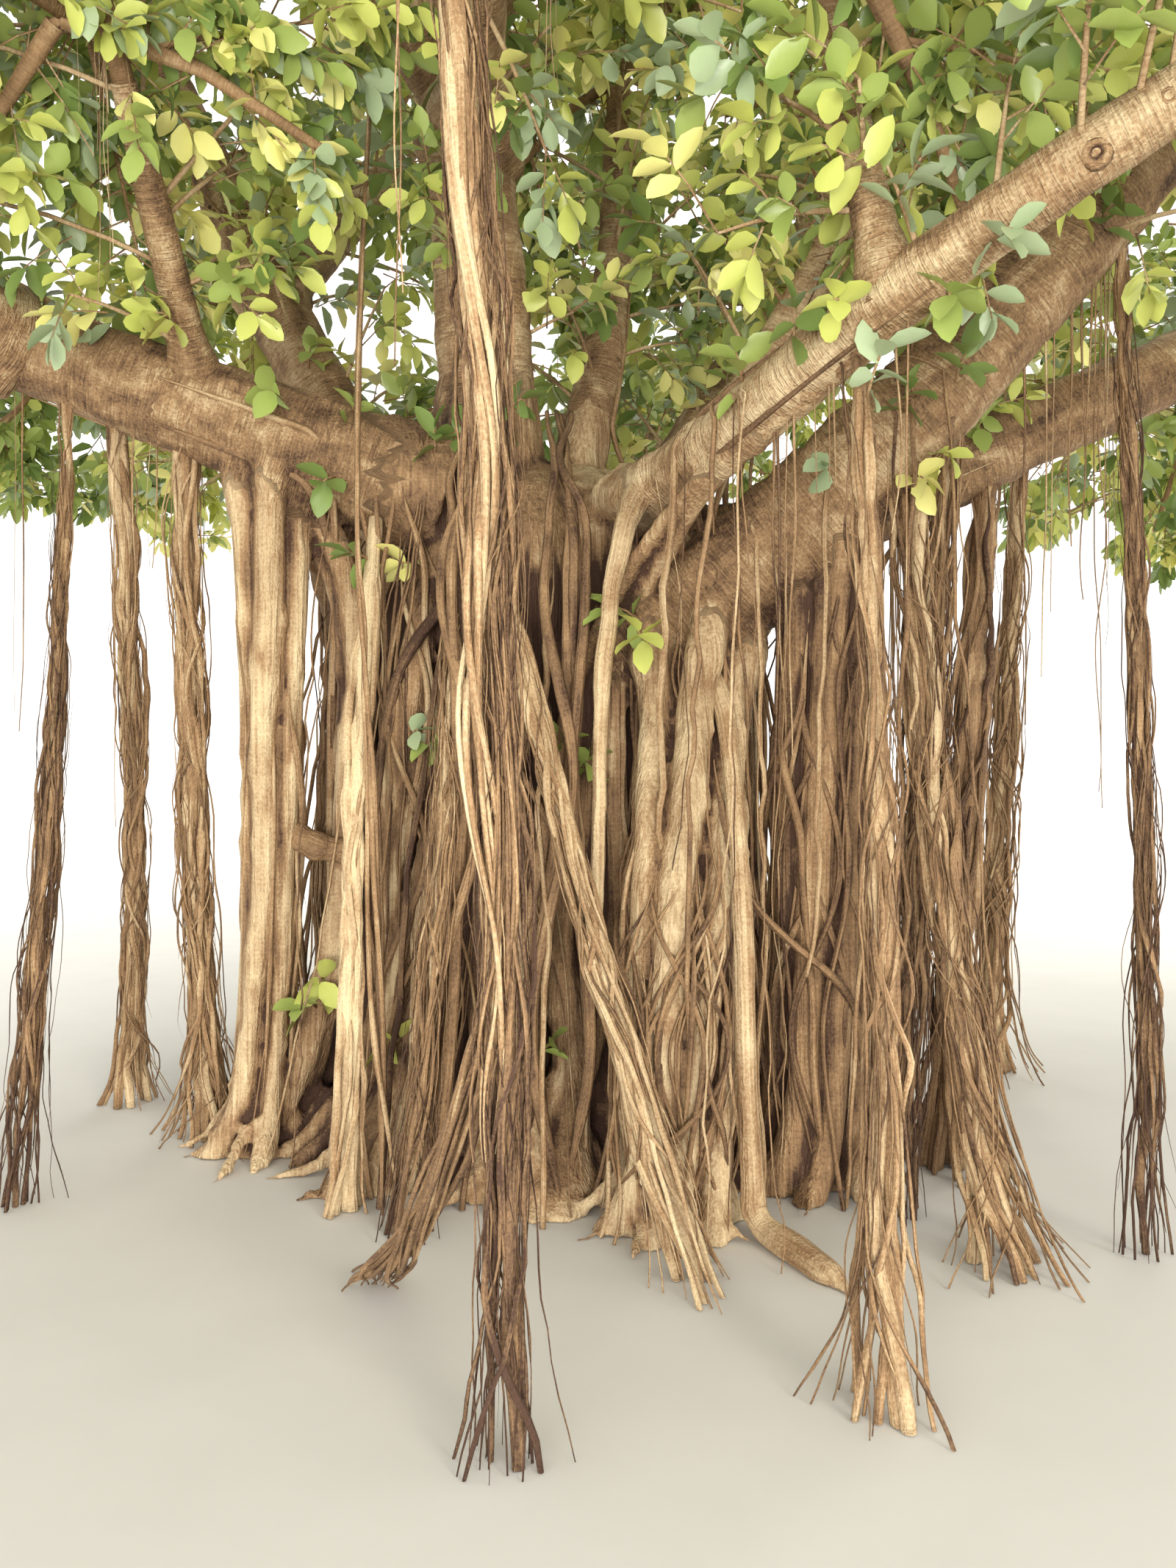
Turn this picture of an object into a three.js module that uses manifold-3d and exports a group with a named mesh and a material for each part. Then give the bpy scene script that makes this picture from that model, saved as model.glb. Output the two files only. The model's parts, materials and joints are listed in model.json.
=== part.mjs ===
// A Moreton Bay fig of the columnar kind: a trunk of fused aerial roots, spreading boughs,
// roots that hang or stand under them, and a broad crown in separate masses of foliage.
// Millimetres, +Z up. The origin lies in the flat cut under the trunk, at ground level.
// The side of the tree that faces -Y is the one with the leaning and hanging roots in front.
import * as THREE from "three";
import { mergeVertices } from "three/addons/utils/BufferGeometryUtils.js";
import Module from "manifold-3d";

const wasm = await Module();
wasm.setup();

const M = 1000; // millimetres in a metre: the tables below are in metres
const GAP = 0.4; // clearance between a limb and the one that it grows from
const STEM_GAP = 0.3; // clearance between a bough's tip and the stem of its foliage
const GOLDEN_ANGLE = Math.PI * (3 - Math.sqrt(5));
const LIMB_DETAIL = 0.1; // steps smaller than this are smoothed out of a limb after its cuts
const MASS_DETAIL = 3; // and out of a mass of foliage

// Trunk: one fluted body, each flute a root that has fused with its neighbours.
const TRUNK = {
  centre: [-0.1, 0.08],
  half: [0.95, 0.85], // half width along X and Y at breast height
  top: 3.0,
  shoulder: 2.35, // above this the trunk closes in between the boughs
  crown: 0.5, // share of the width that is left at the top
  lobes: 15,
  fluting: 0.13, // depth of a flute, as a share of the radius
  flare: 0.3, // how far the root flare stands out at the ground, as a share of the radius
  flareHeight: 0.33,
  twist: 0.5, // turn of the flutes from ground to top, in radians
};
const TRUNK_SIDES = 60;
const TRUNK_LEVELS = [0, 0.12, 0.3, 0.65, 1.4, 2.35, 2.7, 2.92, 3.0];
const FLAT_HUB = [-0.09, 0.06]; // where the ground face's triangles meet, clear of the origin

// Boughs. start and tip are in metres; a bough with parent starts at the share `at` along it.
// sag is how far the limb dips under a straight line, bow how far its middle stands off sideways,
// and radii are those at start and tip. mass is the foliage at the tip: half its width and
// height, and the height above the ground that its lowest leaves keep.
const BOUGHS = [
  { name: "right_main", start: [0.15, -0.4, 2.1], tip: [3.3, -0.5, 5.2], sag: 0.34, bow: [0, -0.55],
    radii: [0.23, 0.1], mass: { half: [2.3, 1.8], floor: 4.3 } },
  { name: "left", start: [-0.5, -0.35, 2.72], tip: [-4.2, -0.75, 3.95], sag: 0, bow: [0, -0.08],
    radii: [0.22, 0.08], mass: { half: [2.5, 2.0], floor: 2.9 } },
  { name: "leader", start: [-0.3, -0.1, 2.6], tip: [-0.62, 0.1, 7.6], sag: 0, bow: [0, -0.3],
    radii: [0.21, 0.08], mass: { half: [2.4, 2.0], floor: 6.9 } },
  { name: "left_back", start: [-0.5, 0.25, 2.6], tip: [-2.6, 1.2, 6.2], sag: 0.42, bow: [0, 0.05],
    radii: [0.2, 0.08], mass: { half: [2.4, 2.0], floor: 4.6 } },
  { name: "right_back", start: [0.4, 0.05, 2.5], tip: [4.4, 0.6, 4.2], sag: 0.15, bow: [0, -0.5],
    radii: [0.2, 0.08], mass: { half: [2.4, 2.0], floor: 2.4 } },
  { name: "back", start: [0.05, 0.4, 2.5], tip: [0.6, 4.2, 4.3], sag: 0.15, bow: [0.1, 0],
    radii: [0.19, 0.08], mass: { half: [2.5, 2.0], floor: 3.7 } },
  { name: "back_left", start: [-0.5, 0.4, 2.45], tip: [-2.8, 3.0, 4.5], sag: 0.15, bow: [-0.2, 0],
    radii: [0.17, 0.07], mass: { half: [2.7, 2.1], floor: 3.4 } },
  { name: "right_low", start: [0.35, 0.3, 2.45], tip: [3.9, 2.9, 4.2], sag: 0.12, bow: [0.2, -0.9],
    radii: [0.15, 0.07], mass: { half: [2.5, 2.0], floor: 3.2 } },
  { name: "right_front", start: [0.25, -0.45, 2.7], tip: [2.6, -2.7, 3.75], sag: 0.18,
    bow: [-0.25, -0.45], radii: [0.12, 0.055], mass: { half: [2.4, 1.9], floor: 2.8 } },
  { name: "back_right", start: [0.2, 0.35, 2.6], tip: [2.0, 2.5, 6.0], sag: 0.2, bow: [0, 0],
    radii: [0.17, 0.07], mass: { half: [2.4, 2.0], floor: 4.6 } },
  { name: "upright", start: [0.35, -0.1, 2.6], tip: [1.3, -0.25, 4.3], sag: 0, bow: [0.12, -0.08],
    radii: [0.12, 0.05], mass: { half: [1.4, 1.1], floor: 3.3, set: 0.3 } },
  { name: "inner_back", start: [-0.05, 0.15, 2.6], tip: [0.25, 0.9, 5.0], sag: 0, bow: [0.1, 0],
    radii: [0.13, 0.06], mass: { half: [1.9, 1.5], floor: 3.4, set: 0.2 } },
  { name: "front", parent: "leader", at: 0.33, tip: [-0.6, -4.0, 4.9], sag: 0.05, bow: [0.22, 0],
    radii: [0.13, 0.06], mass: { half: [2.5, 1.9], floor: 3.5 } },
  { name: "front_high", parent: "leader", at: 0.46, tip: [1.0, -2.6, 6.2], sag: 0.1, bow: [0, 0],
    radii: [0.13, 0.06], mass: { half: [2.4, 1.9], floor: 5.2 } },
  { name: "left_high", parent: "leader", at: 0.4, tip: [-2.5, -2.0, 6.2], sag: 0.1, bow: [0, 0],
    radii: [0.13, 0.06], mass: { half: [2.4, 1.9], floor: 4.9 } },
  { name: "top_right", parent: "leader", at: 0.58, tip: [1.6, 0, 7.0], sag: 0.1, bow: [0, 0],
    radii: [0.12, 0.06], mass: { half: [2.2, 1.9], floor: 6.2 } },
  { name: "back_high", parent: "left_back", at: 0.5, tip: [-0.8, 2.8, 6.3], sag: 0.1, bow: [0, 0],
    radii: [0.12, 0.06], mass: { half: [2.4, 2.0], floor: 5.0 } },
  { name: "front_left", parent: "left", at: 0.46, tip: [-3.4, -3.3, 4.6], sag: 0.05, bow: [-0.2, 0],
    radii: [0.12, 0.06], mass: { half: [2.5, 2.0], floor: 3.0 } },
  { name: "left_inner", parent: "left", at: 0.26, tip: [-1.5, -1.25, 3.95], sag: 0, bow: [0, 0],
    radii: [0.07, 0.045], mass: { half: [1.3, 1.0], floor: 2.95, set: 0.2 } },
  { name: "front_inner", parent: "right_front", at: 0.42, tip: [0.8, -1.9, 3.75], sag: 0,
    bow: [0, 0], radii: [0.06, 0.045], mass: { half: [1.25, 0.95], floor: 2.85, set: 0.15 } },
];
const BOUGH_SIDES = 8;
const THIN_BOUGH = { radius: 0.14, sides: 6 }; // boughs that start thinner than this
const BOUGH_STEPS = 6;
const BOUGH_TAPER = 1.3; // power of the share along a bough in its taper
const SAG_SKEW = 0.6; // under 1, a bough dips nearest its start
const COLLAR = 0.25; // swelling where a bough leaves its parent, as a share of its radius
const COLLAR_SHARE = 0.06;

// Aerial roots. Each leaves its bough at the share `at` (or the trunk at start) and reaches the
// ground at foot. radii are at the top, at half height and just above the flare; flare is added
// at the ground. strands is how many thinner roots have fused into each.
const ROOTS = [
  { name: "column_left", bough: "left", at: 0.19, foot: [-1.27, -0.42], bow: [0.04, -0.03],
    radii: [0.17, 0.125, 0.11], flare: 0.13, strands: 5 },
  { name: "column_front_right", bough: "right_main", at: 0.12, foot: [0.38, -1.17],
    bow: [0, -0.12], radii: [0.23, 0.22, 0.2], flare: 0.08, strands: 7 },
  { name: "column_right", bough: "right_main", at: 0.27, foot: [0.97, -0.78], bow: [0, 0],
    radii: [0.17, 0.19, 0.2], flare: 0.1, strands: 7 },
  { name: "column_back", bough: "back", at: 0.22, foot: [0.35, 1.5], bow: [0, 0.06],
    radii: [0.17, 0.15, 0.14], flare: 0.12, strands: 6 },
  { name: "pillar_left_near", bough: "left", at: 0.28, foot: [-1.55, -0.18], bow: [-0.02, 0],
    radii: [0.075, 0.07, 0.075], flare: 0.1, strands: 4 },
  { name: "pillar_left_far", bough: "left", at: 0.355, foot: [-2.08, 0.3], bow: [0.05, 0],
    radii: [0.06, 0.055, 0.06], flare: 0.07, strands: 3 },
  { name: "pillar_front_left", bough: "left", at: 0.07, foot: [-0.78, -1.05], bow: [0.02, -0.28],
    radii: [0.05, 0.045, 0.045], flare: 0.03, strands: 3 },
  { name: "pillar_right_front", bough: "right_front", at: 0.38, foot: [0.83, -2.42],
    bow: [0.05, 0.05], radii: [0.06, 0.055, 0.06], flare: 0.02, strands: 4 },
  { name: "pillar_right_lean", bough: "right_main", at: 0.36, foot: [1.44, -1.54],
    bow: [-0.06, 0.02], radii: [0.08, 0.07, 0.075], flare: 0.09, strands: 4 },
  { name: "pillar_right_back", bough: "right_back", at: 0.36, foot: [1.52, -0.62],
    bow: [-0.02, 0], radii: [0.09, 0.09, 0.1], flare: 0.1, strands: 5 },
  { name: "pillar_back_left", bough: "back_left", at: 0.42, foot: [-1.75, 1.8], bow: [0.05, 0],
    radii: [0.09, 0.08, 0.085], flare: 0.1, strands: 4 },
  { name: "pillar_back_right", bough: "right_low", at: 0.5, foot: [2.2, 0.85], bow: [0, 0.05],
    radii: [0.08, 0.075, 0.08], flare: 0.09, strands: 4 },
  { name: "diagonal_front", start: [-0.3, -0.6, 2.62], foot: [0.43, -1.7], bow: [-0.03, -0.05],
    radii: [0.06, 0.055, 0.06], flare: 0.05, strands: 4 },
  { name: "curtain_right", bough: "right_main", at: 0.41, foot: [1.2, -1.08], bow: [0, 0],
    radii: [0.09, 0.075, 0.05], flare: 0, strands: 5 },
  { name: "hanging_front", bough: "front", at: 0.56, foot: [-0.085, -2.61], bow: [0.05, 0.03],
    radii: [0.045, 0.075, 0.05], flare: 0, strands: 5 },
  { name: "hanging_left", bough: "left", at: 0.4, foot: [-1.98, -1.03], bow: [0.02, 0.03],
    radii: [0.035, 0.045, 0.06], flare: 0, strands: 4 },
  { name: "hanging_centre", start: [-0.4, -0.6, 2.6], foot: [-0.52, -1.3], bow: [0.03, -0.1],
    radii: [0.05, 0.05, 0.06], flare: 0, strands: 4 },
  { name: "hanging_right", bough: "right_main", at: 0.6, foot: [1.93, -1.46], bow: [0.03, 0],
    radii: [0.03, 0.04, 0.05], flare: 0, strands: 3 },
  { name: "hanging_back", bough: "back", at: 0.55, foot: [0.1, 2.6], bow: [0, 0],
    radii: [0.04, 0.05, 0.05], flare: 0, strands: 3 },
];
const ROOT_LEVELS = [0, 0.05, 0.15, 0.4, 0.7, 1]; // shares of the height, ground first
const STRAND_CREASE = 0.16; // depth of the crease between two strands, by the root's radius
const STRAND_TURN = 0.25; // radians from one level to the next
const FLARE_HEIGHT = 0.16;

// Foliage. Each mass has one stem, twigs off it, and blades off those: one blade stands for a
// branchlet with all its sprays of leaves.
const HEART = new THREE.Vector3(0, 0, 3.2); // masses stand outwards from here
const MASS_SET = 0.55; // a mass's middle past its bough's tip, in half widths, or its row's set
const MASS_MARGIN = 0.06; // metres kept clear along the border with a neighbouring mass
const STEM_SIDES = 5;
const STEM_WIDTH = 0.9; // of the bough's tip
const STEM_TAPER = 0.45;
const NECK = 0.25; // metres that the stem runs straight on from the bough
const STEM_SHARE = [0.3, 0.68]; // twigs start at the first share of the stem, over the second
const TWIGS = 5;
const TWIG_REACH = 0.72; // of the mass's half sizes
const TWIG_RADII = [0.034, 0.025, 0.016];
const TWIG_TRIALS = [0.15, 0.3, 0.45, 0.6, 0.75, 0.9];
const TWIG_ARCH = 0.07; // how far a twig's middle stands above a straight line, by length
const BLADES = 5; // on one twig
const BLADE_FIRST = 0.3; // share of the twig where the first stands
const BLADE_LENGTH = 1.45;
const BLADE_WIDTH = 0.65; // of its length
const BLADE_THICK = 0.022; // of its length
const BLADE_WIDEST = 0.55; // where it is widest, as a share of its length
const BLADE_TRIALS = [0.2, 0.4, 0.55, 0.7, 0.85, 1]; // where it is tried against its space
const BLADE_RIDGE = 0.12; // where a blade is thickest, as a share of its length
const BLADE_TILT = 0.7; // how flat blades lie: 0 stands all of them upright
const BLADE_SPREAD = 0.95; // radians between a blade and its twig
const BLADE_SINK = 0.025; // how far the last blade's root stands in the end of its twig
const BLADE_APART = 0.65; // least distance between the middles of two blades
const LIMB_PAD = 0.09; // metres that twigs and blades keep from limbs
const TRUNK_KEEP = { radius: 1.25, height: 3.2 }; // no foliage about the trunk itself
const SHRINK = 0.8; // a twig or blade that leaves its space is shortened by this, then again
const SHRINK_TRIES = 5;
const SEED = 7300;

const COLOURS = {
  bark: { color: 0xa08465, roughness: 0.9 },
  root: { color: 0xb29470, roughness: 0.9 },
  leaf: { color: 0x4f7a2c, roughness: 0.55 },
};

const vector = (metres) => new THREE.Vector3(...metres).multiplyScalar(M);

// A seeded source of numbers from 0 to 1, the same on every run.
function seeded(seed) {
  let state = seed;
  return () => {
    state = (state + 0x6d2b79f5) | 0;
    let mixed = Math.imul(state ^ (state >>> 15), 1 | state);
    mixed = (mixed + Math.imul(mixed ^ (mixed >>> 7), 61 | mixed)) ^ mixed;
    return ((mixed ^ (mixed >>> 14)) >>> 0) / 2 ** 32;
  };
}

// A closed solid through rings of points: each ring has the same count, counter-clockwise
// about the way that the rings advance. hubs are the middle points of the two end faces,
// which a three-sided loft goes without.
function loft(rings, hubs) {
  const sides = rings[0].length;
  const faces = [];
  for (let ring = 0; ring + 1 < rings.length; ring++) {
    for (let side = 0; side < sides; side++) {
      const a = ring * sides + side;
      const b = ring * sides + ((side + 1) % sides);
      faces.push(a, b, b + sides, a, b + sides, a + sides);
    }
  }
  const last = (rings.length - 1) * sides;
  if (sides === 3) {
    faces.push(2, 1, 0, last, last + 1, last + 2);
    return solidOf(rings.flat(), faces);
  }
  const startHub = rings.length * sides;
  for (let side = 0; side < sides; side++) {
    const next = (side + 1) % sides;
    faces.push(startHub, next, side, startHub + 1, last + side, last + next);
  }
  return solidOf([...rings.flat(), ...hubs], faces);
}

function solidOf(points, faces) {
  const geometry = new THREE.BufferGeometry().setFromPoints(points).setIndex(faces);
  const merged = mergeVertices(geometry, 1e-3);
  return new wasm.Manifold(
    new wasm.Mesh({
      numProp: 3,
      vertProperties: merged.attributes.position.array,
      triVerts: new Uint32Array(merged.index.array),
    }),
  );
}

// The way along and two ways across at each point of a line, carried on without twisting.
function framesAlong(points) {
  const across = new THREE.Vector3(0.3, 1, 0.2);
  return points.map((point, i) => {
    const before = points[Math.max(i - 1, 0)];
    const after = points[Math.min(i + 1, points.length - 1)];
    const along = after.clone().sub(before).normalize();
    across.addScaledVector(along, -across.dot(along)).normalize();
    return { along, across: across.clone(), over: along.clone().cross(across) };
  });
}

// A round limb along points with a radius at each.
function limbSolid(points, radii, sides) {
  const frames = framesAlong(points);
  const rings = points.map((point, i) =>
    Array.from({ length: sides }, (_, side) => {
      const angle = (2 * Math.PI * side) / sides;
      return point
        .clone()
        .addScaledVector(frames[i].across, radii[i] * Math.cos(angle))
        .addScaledVector(frames[i].over, radii[i] * Math.sin(angle));
    }),
  );
  return loft(rings, [points[0], points[points.length - 1]]);
}

// A point of the trunk's skin. Its flutes are of uneven width and deepen into the root flare.
function trunkPoint(angle, height, grow) {
  const turn = (TRUNK.twist * height) / TRUNK.top;
  const uneven = angle + 0.25 * Math.sin(2 * angle + 1) + 0.12 * Math.sin(3 * angle);
  const bulge = Math.abs(Math.cos((TRUNK.lobes / 2) * uneven + turn)) - 2 / Math.PI;
  const flare = TRUNK.flare * Math.exp(-height / TRUNK.flareHeight);
  const closing = Math.max(0, (height - TRUNK.shoulder) / (TRUNK.top - TRUNK.shoulder));
  const shoulder = Math.sqrt(1 - closing * closing * (1 - TRUNK.crown * TRUNK.crown));
  const fluting = 1 + (TRUNK.fluting + 0.6 * flare) * bulge;
  const scale = (1 + flare) * fluting * shoulder;
  const [halfX, halfY] = TRUNK.half;
  return new THREE.Vector3(
    (TRUNK.centre[0] + halfX * scale * Math.cos(angle)) * M + grow * Math.cos(angle),
    (TRUNK.centre[1] + halfY * scale * Math.sin(angle)) * M + grow * Math.sin(angle),
    height * M,
  );
}

function trunkSolid(grow) {
  const rings = TRUNK_LEVELS.map((height, level) =>
    Array.from({ length: TRUNK_SIDES }, (_, side) => {
      const point = trunkPoint((2 * Math.PI * side) / TRUNK_SIDES, height, grow);
      point.z += level === TRUNK_LEVELS.length - 1 ? grow : 0;
      return point;
    }),
  );
  const top = new THREE.Vector3(...TRUNK.centre, TRUNK.top).multiplyScalar(M);
  top.z += grow;
  return loft(rings, [vector([...FLAT_HUB, 0]), top]);
}

// The point of a bough's middle line at a share from start to tip.
function boughPoint(bough, share) {
  const point = bough.from.clone().lerp(bough.to, share);
  const bow = Math.sin(Math.PI * share);
  point.x += bough.bow[0] * M * bow;
  point.y += bough.bow[1] * M * bow;
  point.z -= bough.sag * M * Math.sin(Math.PI * share ** SAG_SKEW);
  return point;
}

function boughRadius(bough, share) {
  const [thick, thin] = bough.radii;
  const collar = 1 + COLLAR * Math.exp(-share / COLLAR_SHARE);
  return (thick + (thin - thick) * share ** BOUGH_TAPER) * collar * M;
}

function boughLine(bough) {
  const shares = Array.from({ length: BOUGH_STEPS + 1 }, (_, i) => i / BOUGH_STEPS);
  return {
    points: shares.map((share) => boughPoint(bough, share)),
    radii: shares.map((share) => boughRadius(bough, share)),
  };
}

// The middle line and radii of a root, from its foot to its top.
function rootLine(root, top) {
  const foot = vector([...root.foot, 0]);
  const [high, middle, low] = root.radii;
  const { lerp } = THREE.MathUtils;
  const points = ROOT_LEVELS.map((rise) => {
    const bow = M * Math.sin(Math.PI * rise);
    const point = foot.clone().lerp(top, rise);
    return point.add(new THREE.Vector3(root.bow[0] * bow, root.bow[1] * bow, 0));
  });
  const radii = ROOT_LEVELS.map((rise, level) => {
    const plain = rise < 0.5 ? lerp(low, middle, rise * 2) : lerp(middle, high, rise * 2 - 1);
    return (plain + root.flare * Math.exp(-points[level].z / (FLARE_HEIGHT * M))) * M;
  });
  return { points, radii };
}

// A standing root: level rings of fused strands, two faces to a strand, which turn on the way.
function rootSolid({ points, radii }, strands, grow) {
  const sides = strands * 2;
  const rings = points.map((point, level) =>
    Array.from({ length: sides }, (_, side) => {
      const angle = (2 * Math.PI * side) / sides + STRAND_TURN * level;
      const reach = radii[level] * (side % 2 ? 1 - STRAND_CREASE : 1) + grow;
      return point.clone().add(
        new THREE.Vector3(reach * Math.cos(angle), reach * Math.sin(angle), 0),
      );
    }),
  );
  return loft(rings, [points[0], points[points.length - 1]]);
}

const boxesMeet = (a, b) =>
  [0, 1, 2].every((axis) => a.min[axis] < b.max[axis] && b.min[axis] < a.max[axis]);

// The largest of a solid's separate bodies, without the scraps that a cut leaves.
const largestOf = (solid) => solid.decompose().sort((a, b) => b.volume() - a.volume())[0];

// Cuts a new limb clear of every limb that is already placed.
const placed = [];
function place(plain, grown) {
  let solid = plain;
  for (const other of placed) {
    if (boxesMeet(solid.boundingBox(), other.boundingBox())) {
      solid = solid.subtract(other);
    }
  }
  placed.push(grown);
  return largestOf(solid).simplify(LIMB_DETAIL);
}

const tree = new THREE.Group();

function addNode(name, solid, finish) {
  const mesh = solid.getMesh();
  const geometry = new THREE.BufferGeometry();
  geometry.setAttribute("position", new THREE.BufferAttribute(mesh.vertProperties, 3));
  geometry.setIndex(new THREE.BufferAttribute(mesh.triVerts, 1));
  geometry.computeVertexNormals();
  const material = new THREE.MeshStandardMaterial({ ...COLOURS[finish], metalness: 0 });
  const node = new THREE.Mesh(geometry, material);
  node.name = name;
  tree.add(node);
}

// Distance from a point to the middle line of a limb, less the limb's radius there.
function clearance(point, limb) {
  let least = Infinity;
  for (let i = 0; i + 1 < limb.points.length; i++) {
    const [a, b] = [limb.points[i], limb.points[i + 1]];
    const way = b.clone().sub(a);
    const share = THREE.MathUtils.clamp(point.clone().sub(a).dot(way) / way.lengthSq(), 0, 1);
    const gap = point.distanceTo(a.clone().addScaledVector(way, share));
    least = Math.min(least, gap - THREE.MathUtils.lerp(limb.radii[i], limb.radii[i + 1], share));
  }
  return least;
}

const limbs = [];
function clearOfLimbs(point) {
  const flat = Math.hypot(point.x - TRUNK.centre[0] * M, point.y - TRUNK.centre[1] * M);
  if (flat < TRUNK_KEEP.radius * M && point.z < TRUNK_KEEP.height * M) {
    return false;
  }
  return limbs.every((limb) => clearance(point, limb) > LIMB_PAD * M);
}

addNode("trunk", trunkSolid(0), "bark");
placed.push(trunkSolid(GAP));

const boughs = new Map();
for (const row of BOUGHS) {
  const from = row.parent ? boughPoint(boughs.get(row.parent), row.at) : vector(row.start);
  const bough = { ...row, from, to: vector(row.tip) };
  boughs.set(row.name, bough);
  const line = boughLine(bough);
  limbs.push(line);
  const grown = line.radii.map((radius) => radius + GAP);
  const sides = row.radii[0] < THIN_BOUGH.radius ? THIN_BOUGH.sides : BOUGH_SIDES;
  const solid = place(
    limbSolid(line.points, line.radii, sides),
    limbSolid(line.points, grown, sides),
  );
  addNode("bough_" + row.name, solid, "bark");
}

for (const root of ROOTS) {
  const top = root.bough ? boughPoint(boughs.get(root.bough), root.at) : vector(root.start);
  const line = rootLine(root, top);
  limbs.push(line);
  const solid = place(rootSolid(line, root.strands, 0), rootSolid(line, root.strands, GAP));
  addNode(root.name, solid, "root");
}

// The space of each mass: an ellipsoid, cut off half way to each neighbour and at its floor.
const masses = [...boughs.values()].map((bough) => {
  const [wide, high] = bough.mass.half;
  const set = bough.mass.set ?? MASS_SET;
  const outward = bough.to.clone().addScaledVector(HEART, -M).normalize();
  return {
    bough,
    centre: bough.to.clone().addScaledVector(outward, set * wide * M),
    half: new THREE.Vector3(wide, wide, high).multiplyScalar(M),
  };
});

function insideMass(point, mass) {
  const off = point.clone().sub(mass.centre);
  if (point.z < mass.bough.mass.floor * M || off.clone().divide(mass.half).length() > 1) {
    return false;
  }
  return masses.every((other) => {
    const apart = other.centre.clone().sub(mass.centre);
    const border = apart.length() / 2 - MASS_MARGIN * M;
    return other === mass || off.dot(apart.normalize()) < border;
  });
}

// Shortens the way from root to target until check() holds. Returns null if it never does.
function fitted(root, target, check) {
  for (let tries = 0; tries < SHRINK_TRIES; tries++) {
    const end = root.clone().lerp(target, SHRINK ** tries);
    if (check(end)) {
      return end;
    }
  }
  return null;
}

// A point at a share along a twig, which is two straight stretches.
function onTwig([root, middle, end], at) {
  return at < 0.5 ? root.clone().lerp(middle, at * 2) : middle.clone().lerp(end, at * 2 - 1);
}

// Points all over a blade, to try it against its space and the limbs.
function bladeSamples({ root, way, side }) {
  return BLADE_TRIALS.flatMap((share) => {
    const narrow = Math.min(share / BLADE_WIDEST, (1 - share) / (1 - BLADE_WIDEST));
    const middle = root.clone().addScaledVector(way, share);
    return [-1, 0, 1].map((hand) => middle.clone().addScaledVector(side, hand * narrow));
  });
}

// A flat blade of 8 faces, thickest near its sunk root.
function bladeSolid({ root, way, side, normal }) {
  const middle = root.clone().addScaledVector(way, BLADE_WIDEST);
  const ridge = root.clone().addScaledVector(way, BLADE_RIDGE);
  const lift = normal.clone().setLength((way.length() * BLADE_THICK) / 2);
  const tip = root.clone().add(way);
  const outline = [root, middle.clone().add(side), tip, middle.clone().sub(side)];
  const points = [...outline, ridge.clone().add(lift), ridge.clone().sub(lift)];
  const faces = [0, 1, 4, 1, 2, 4, 2, 3, 4, 3, 0, 4, 1, 0, 5, 2, 1, 5, 3, 2, 5, 0, 3, 5];
  return solidOf(points, faces);
}

// The directions of a mass's twigs, spread evenly round it by the golden angle.
function spreadDirection(k, turn) {
  const height = 1 - (2 * (k + 0.5)) / TWIGS;
  const angle = k * GOLDEN_ANGLE + turn;
  const flat = Math.sqrt(1 - height * height);
  return new THREE.Vector3(flat * Math.cos(angle), flat * Math.sin(angle), height);
}

// Where the stem of a mass runs: on from its bough's tip, then to the middle of the mass.
function stemLine(mass, boughLine) {
  const { along } = framesAlong(boughLine.points)[BOUGH_STEPS];
  const base = mass.bough.to.clone().addScaledVector(along, STEM_GAP);
  return [base, base.clone().addScaledVector(along, NECK * M), mass.centre.clone()];
}

// Where the k-th twig of a mass runs, or null if it finds no way.
function twigLine(mass, neck, k, turn, random) {
  const share = STEM_SHARE[0] + (STEM_SHARE[1] * (k + random())) / TWIGS;
  const root = neck.clone().lerp(mass.centre, share);
  const reach = TWIG_REACH * (0.9 + 0.2 * random());
  const direction = spreadDirection(k, turn).multiply(mass.half);
  const target = mass.centre.clone().addScaledVector(direction, reach);
  const end = fitted(root, target, (tip) => insideMass(tip, mass) && clearOfLimbs(tip));
  if (!end) {
    return null;
  }
  const middle = root.clone().lerp(end, 0.5);
  middle.z += TWIG_ARCH * root.distanceTo(end);
  const line = [root, middle, end];
  return TWIG_TRIALS.every((at) => clearOfLimbs(onTwig(line, at))) ? line : null;
}

// The j-th blade of a twig, in three ranks round it, or null if it finds no room.
function bladeOn(twig, j, mass, others, random) {
  const { along, across, over } = framesAlong(twig)[2];
  const last = j === BLADES - 1;
  const seat = onTwig(twig, BLADE_FIRST + ((1 - BLADE_FIRST) * j) / (BLADES - 1));
  const roll = ((2 * j + 1) * Math.PI) / 3 + 0.3 * (random() - 0.5);
  const spread = last ? 0 : BLADE_SPREAD + 0.3 * (random() - 0.5);
  const length = BLADE_LENGTH * (0.8 + 0.35 * random()) * M;
  const heading = along
    .clone()
    .multiplyScalar(Math.cos(spread))
    .addScaledVector(across, Math.sin(spread) * Math.cos(roll))
    .addScaledVector(over, Math.sin(spread) * Math.sin(roll));
  const tilt = new THREE.Vector3(random() - 0.5, random() - 0.5, BLADE_TILT * random());
  const normal = tilt.addScaledVector(heading, -tilt.dot(heading)).normalize();
  const root = seat.clone().addScaledVector(heading, last ? -BLADE_SINK * M : 0);
  let blade = null;
  const tip = fitted(root, root.clone().addScaledVector(heading, length), (end) => {
    const way = end.clone().sub(root);
    const side = way.clone().cross(normal).multiplyScalar(BLADE_WIDTH / 2);
    blade = { root, way, side, normal, middle: root.clone().addScaledVector(way, BLADE_WIDEST) };
    return (
      others.every((other) => other.middle.distanceTo(blade.middle) > BLADE_APART * M) &&
      bladeSamples(blade).every((point) => insideMass(point, mass) && clearOfLimbs(point))
    );
  });
  return tip && blade;
}

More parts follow.
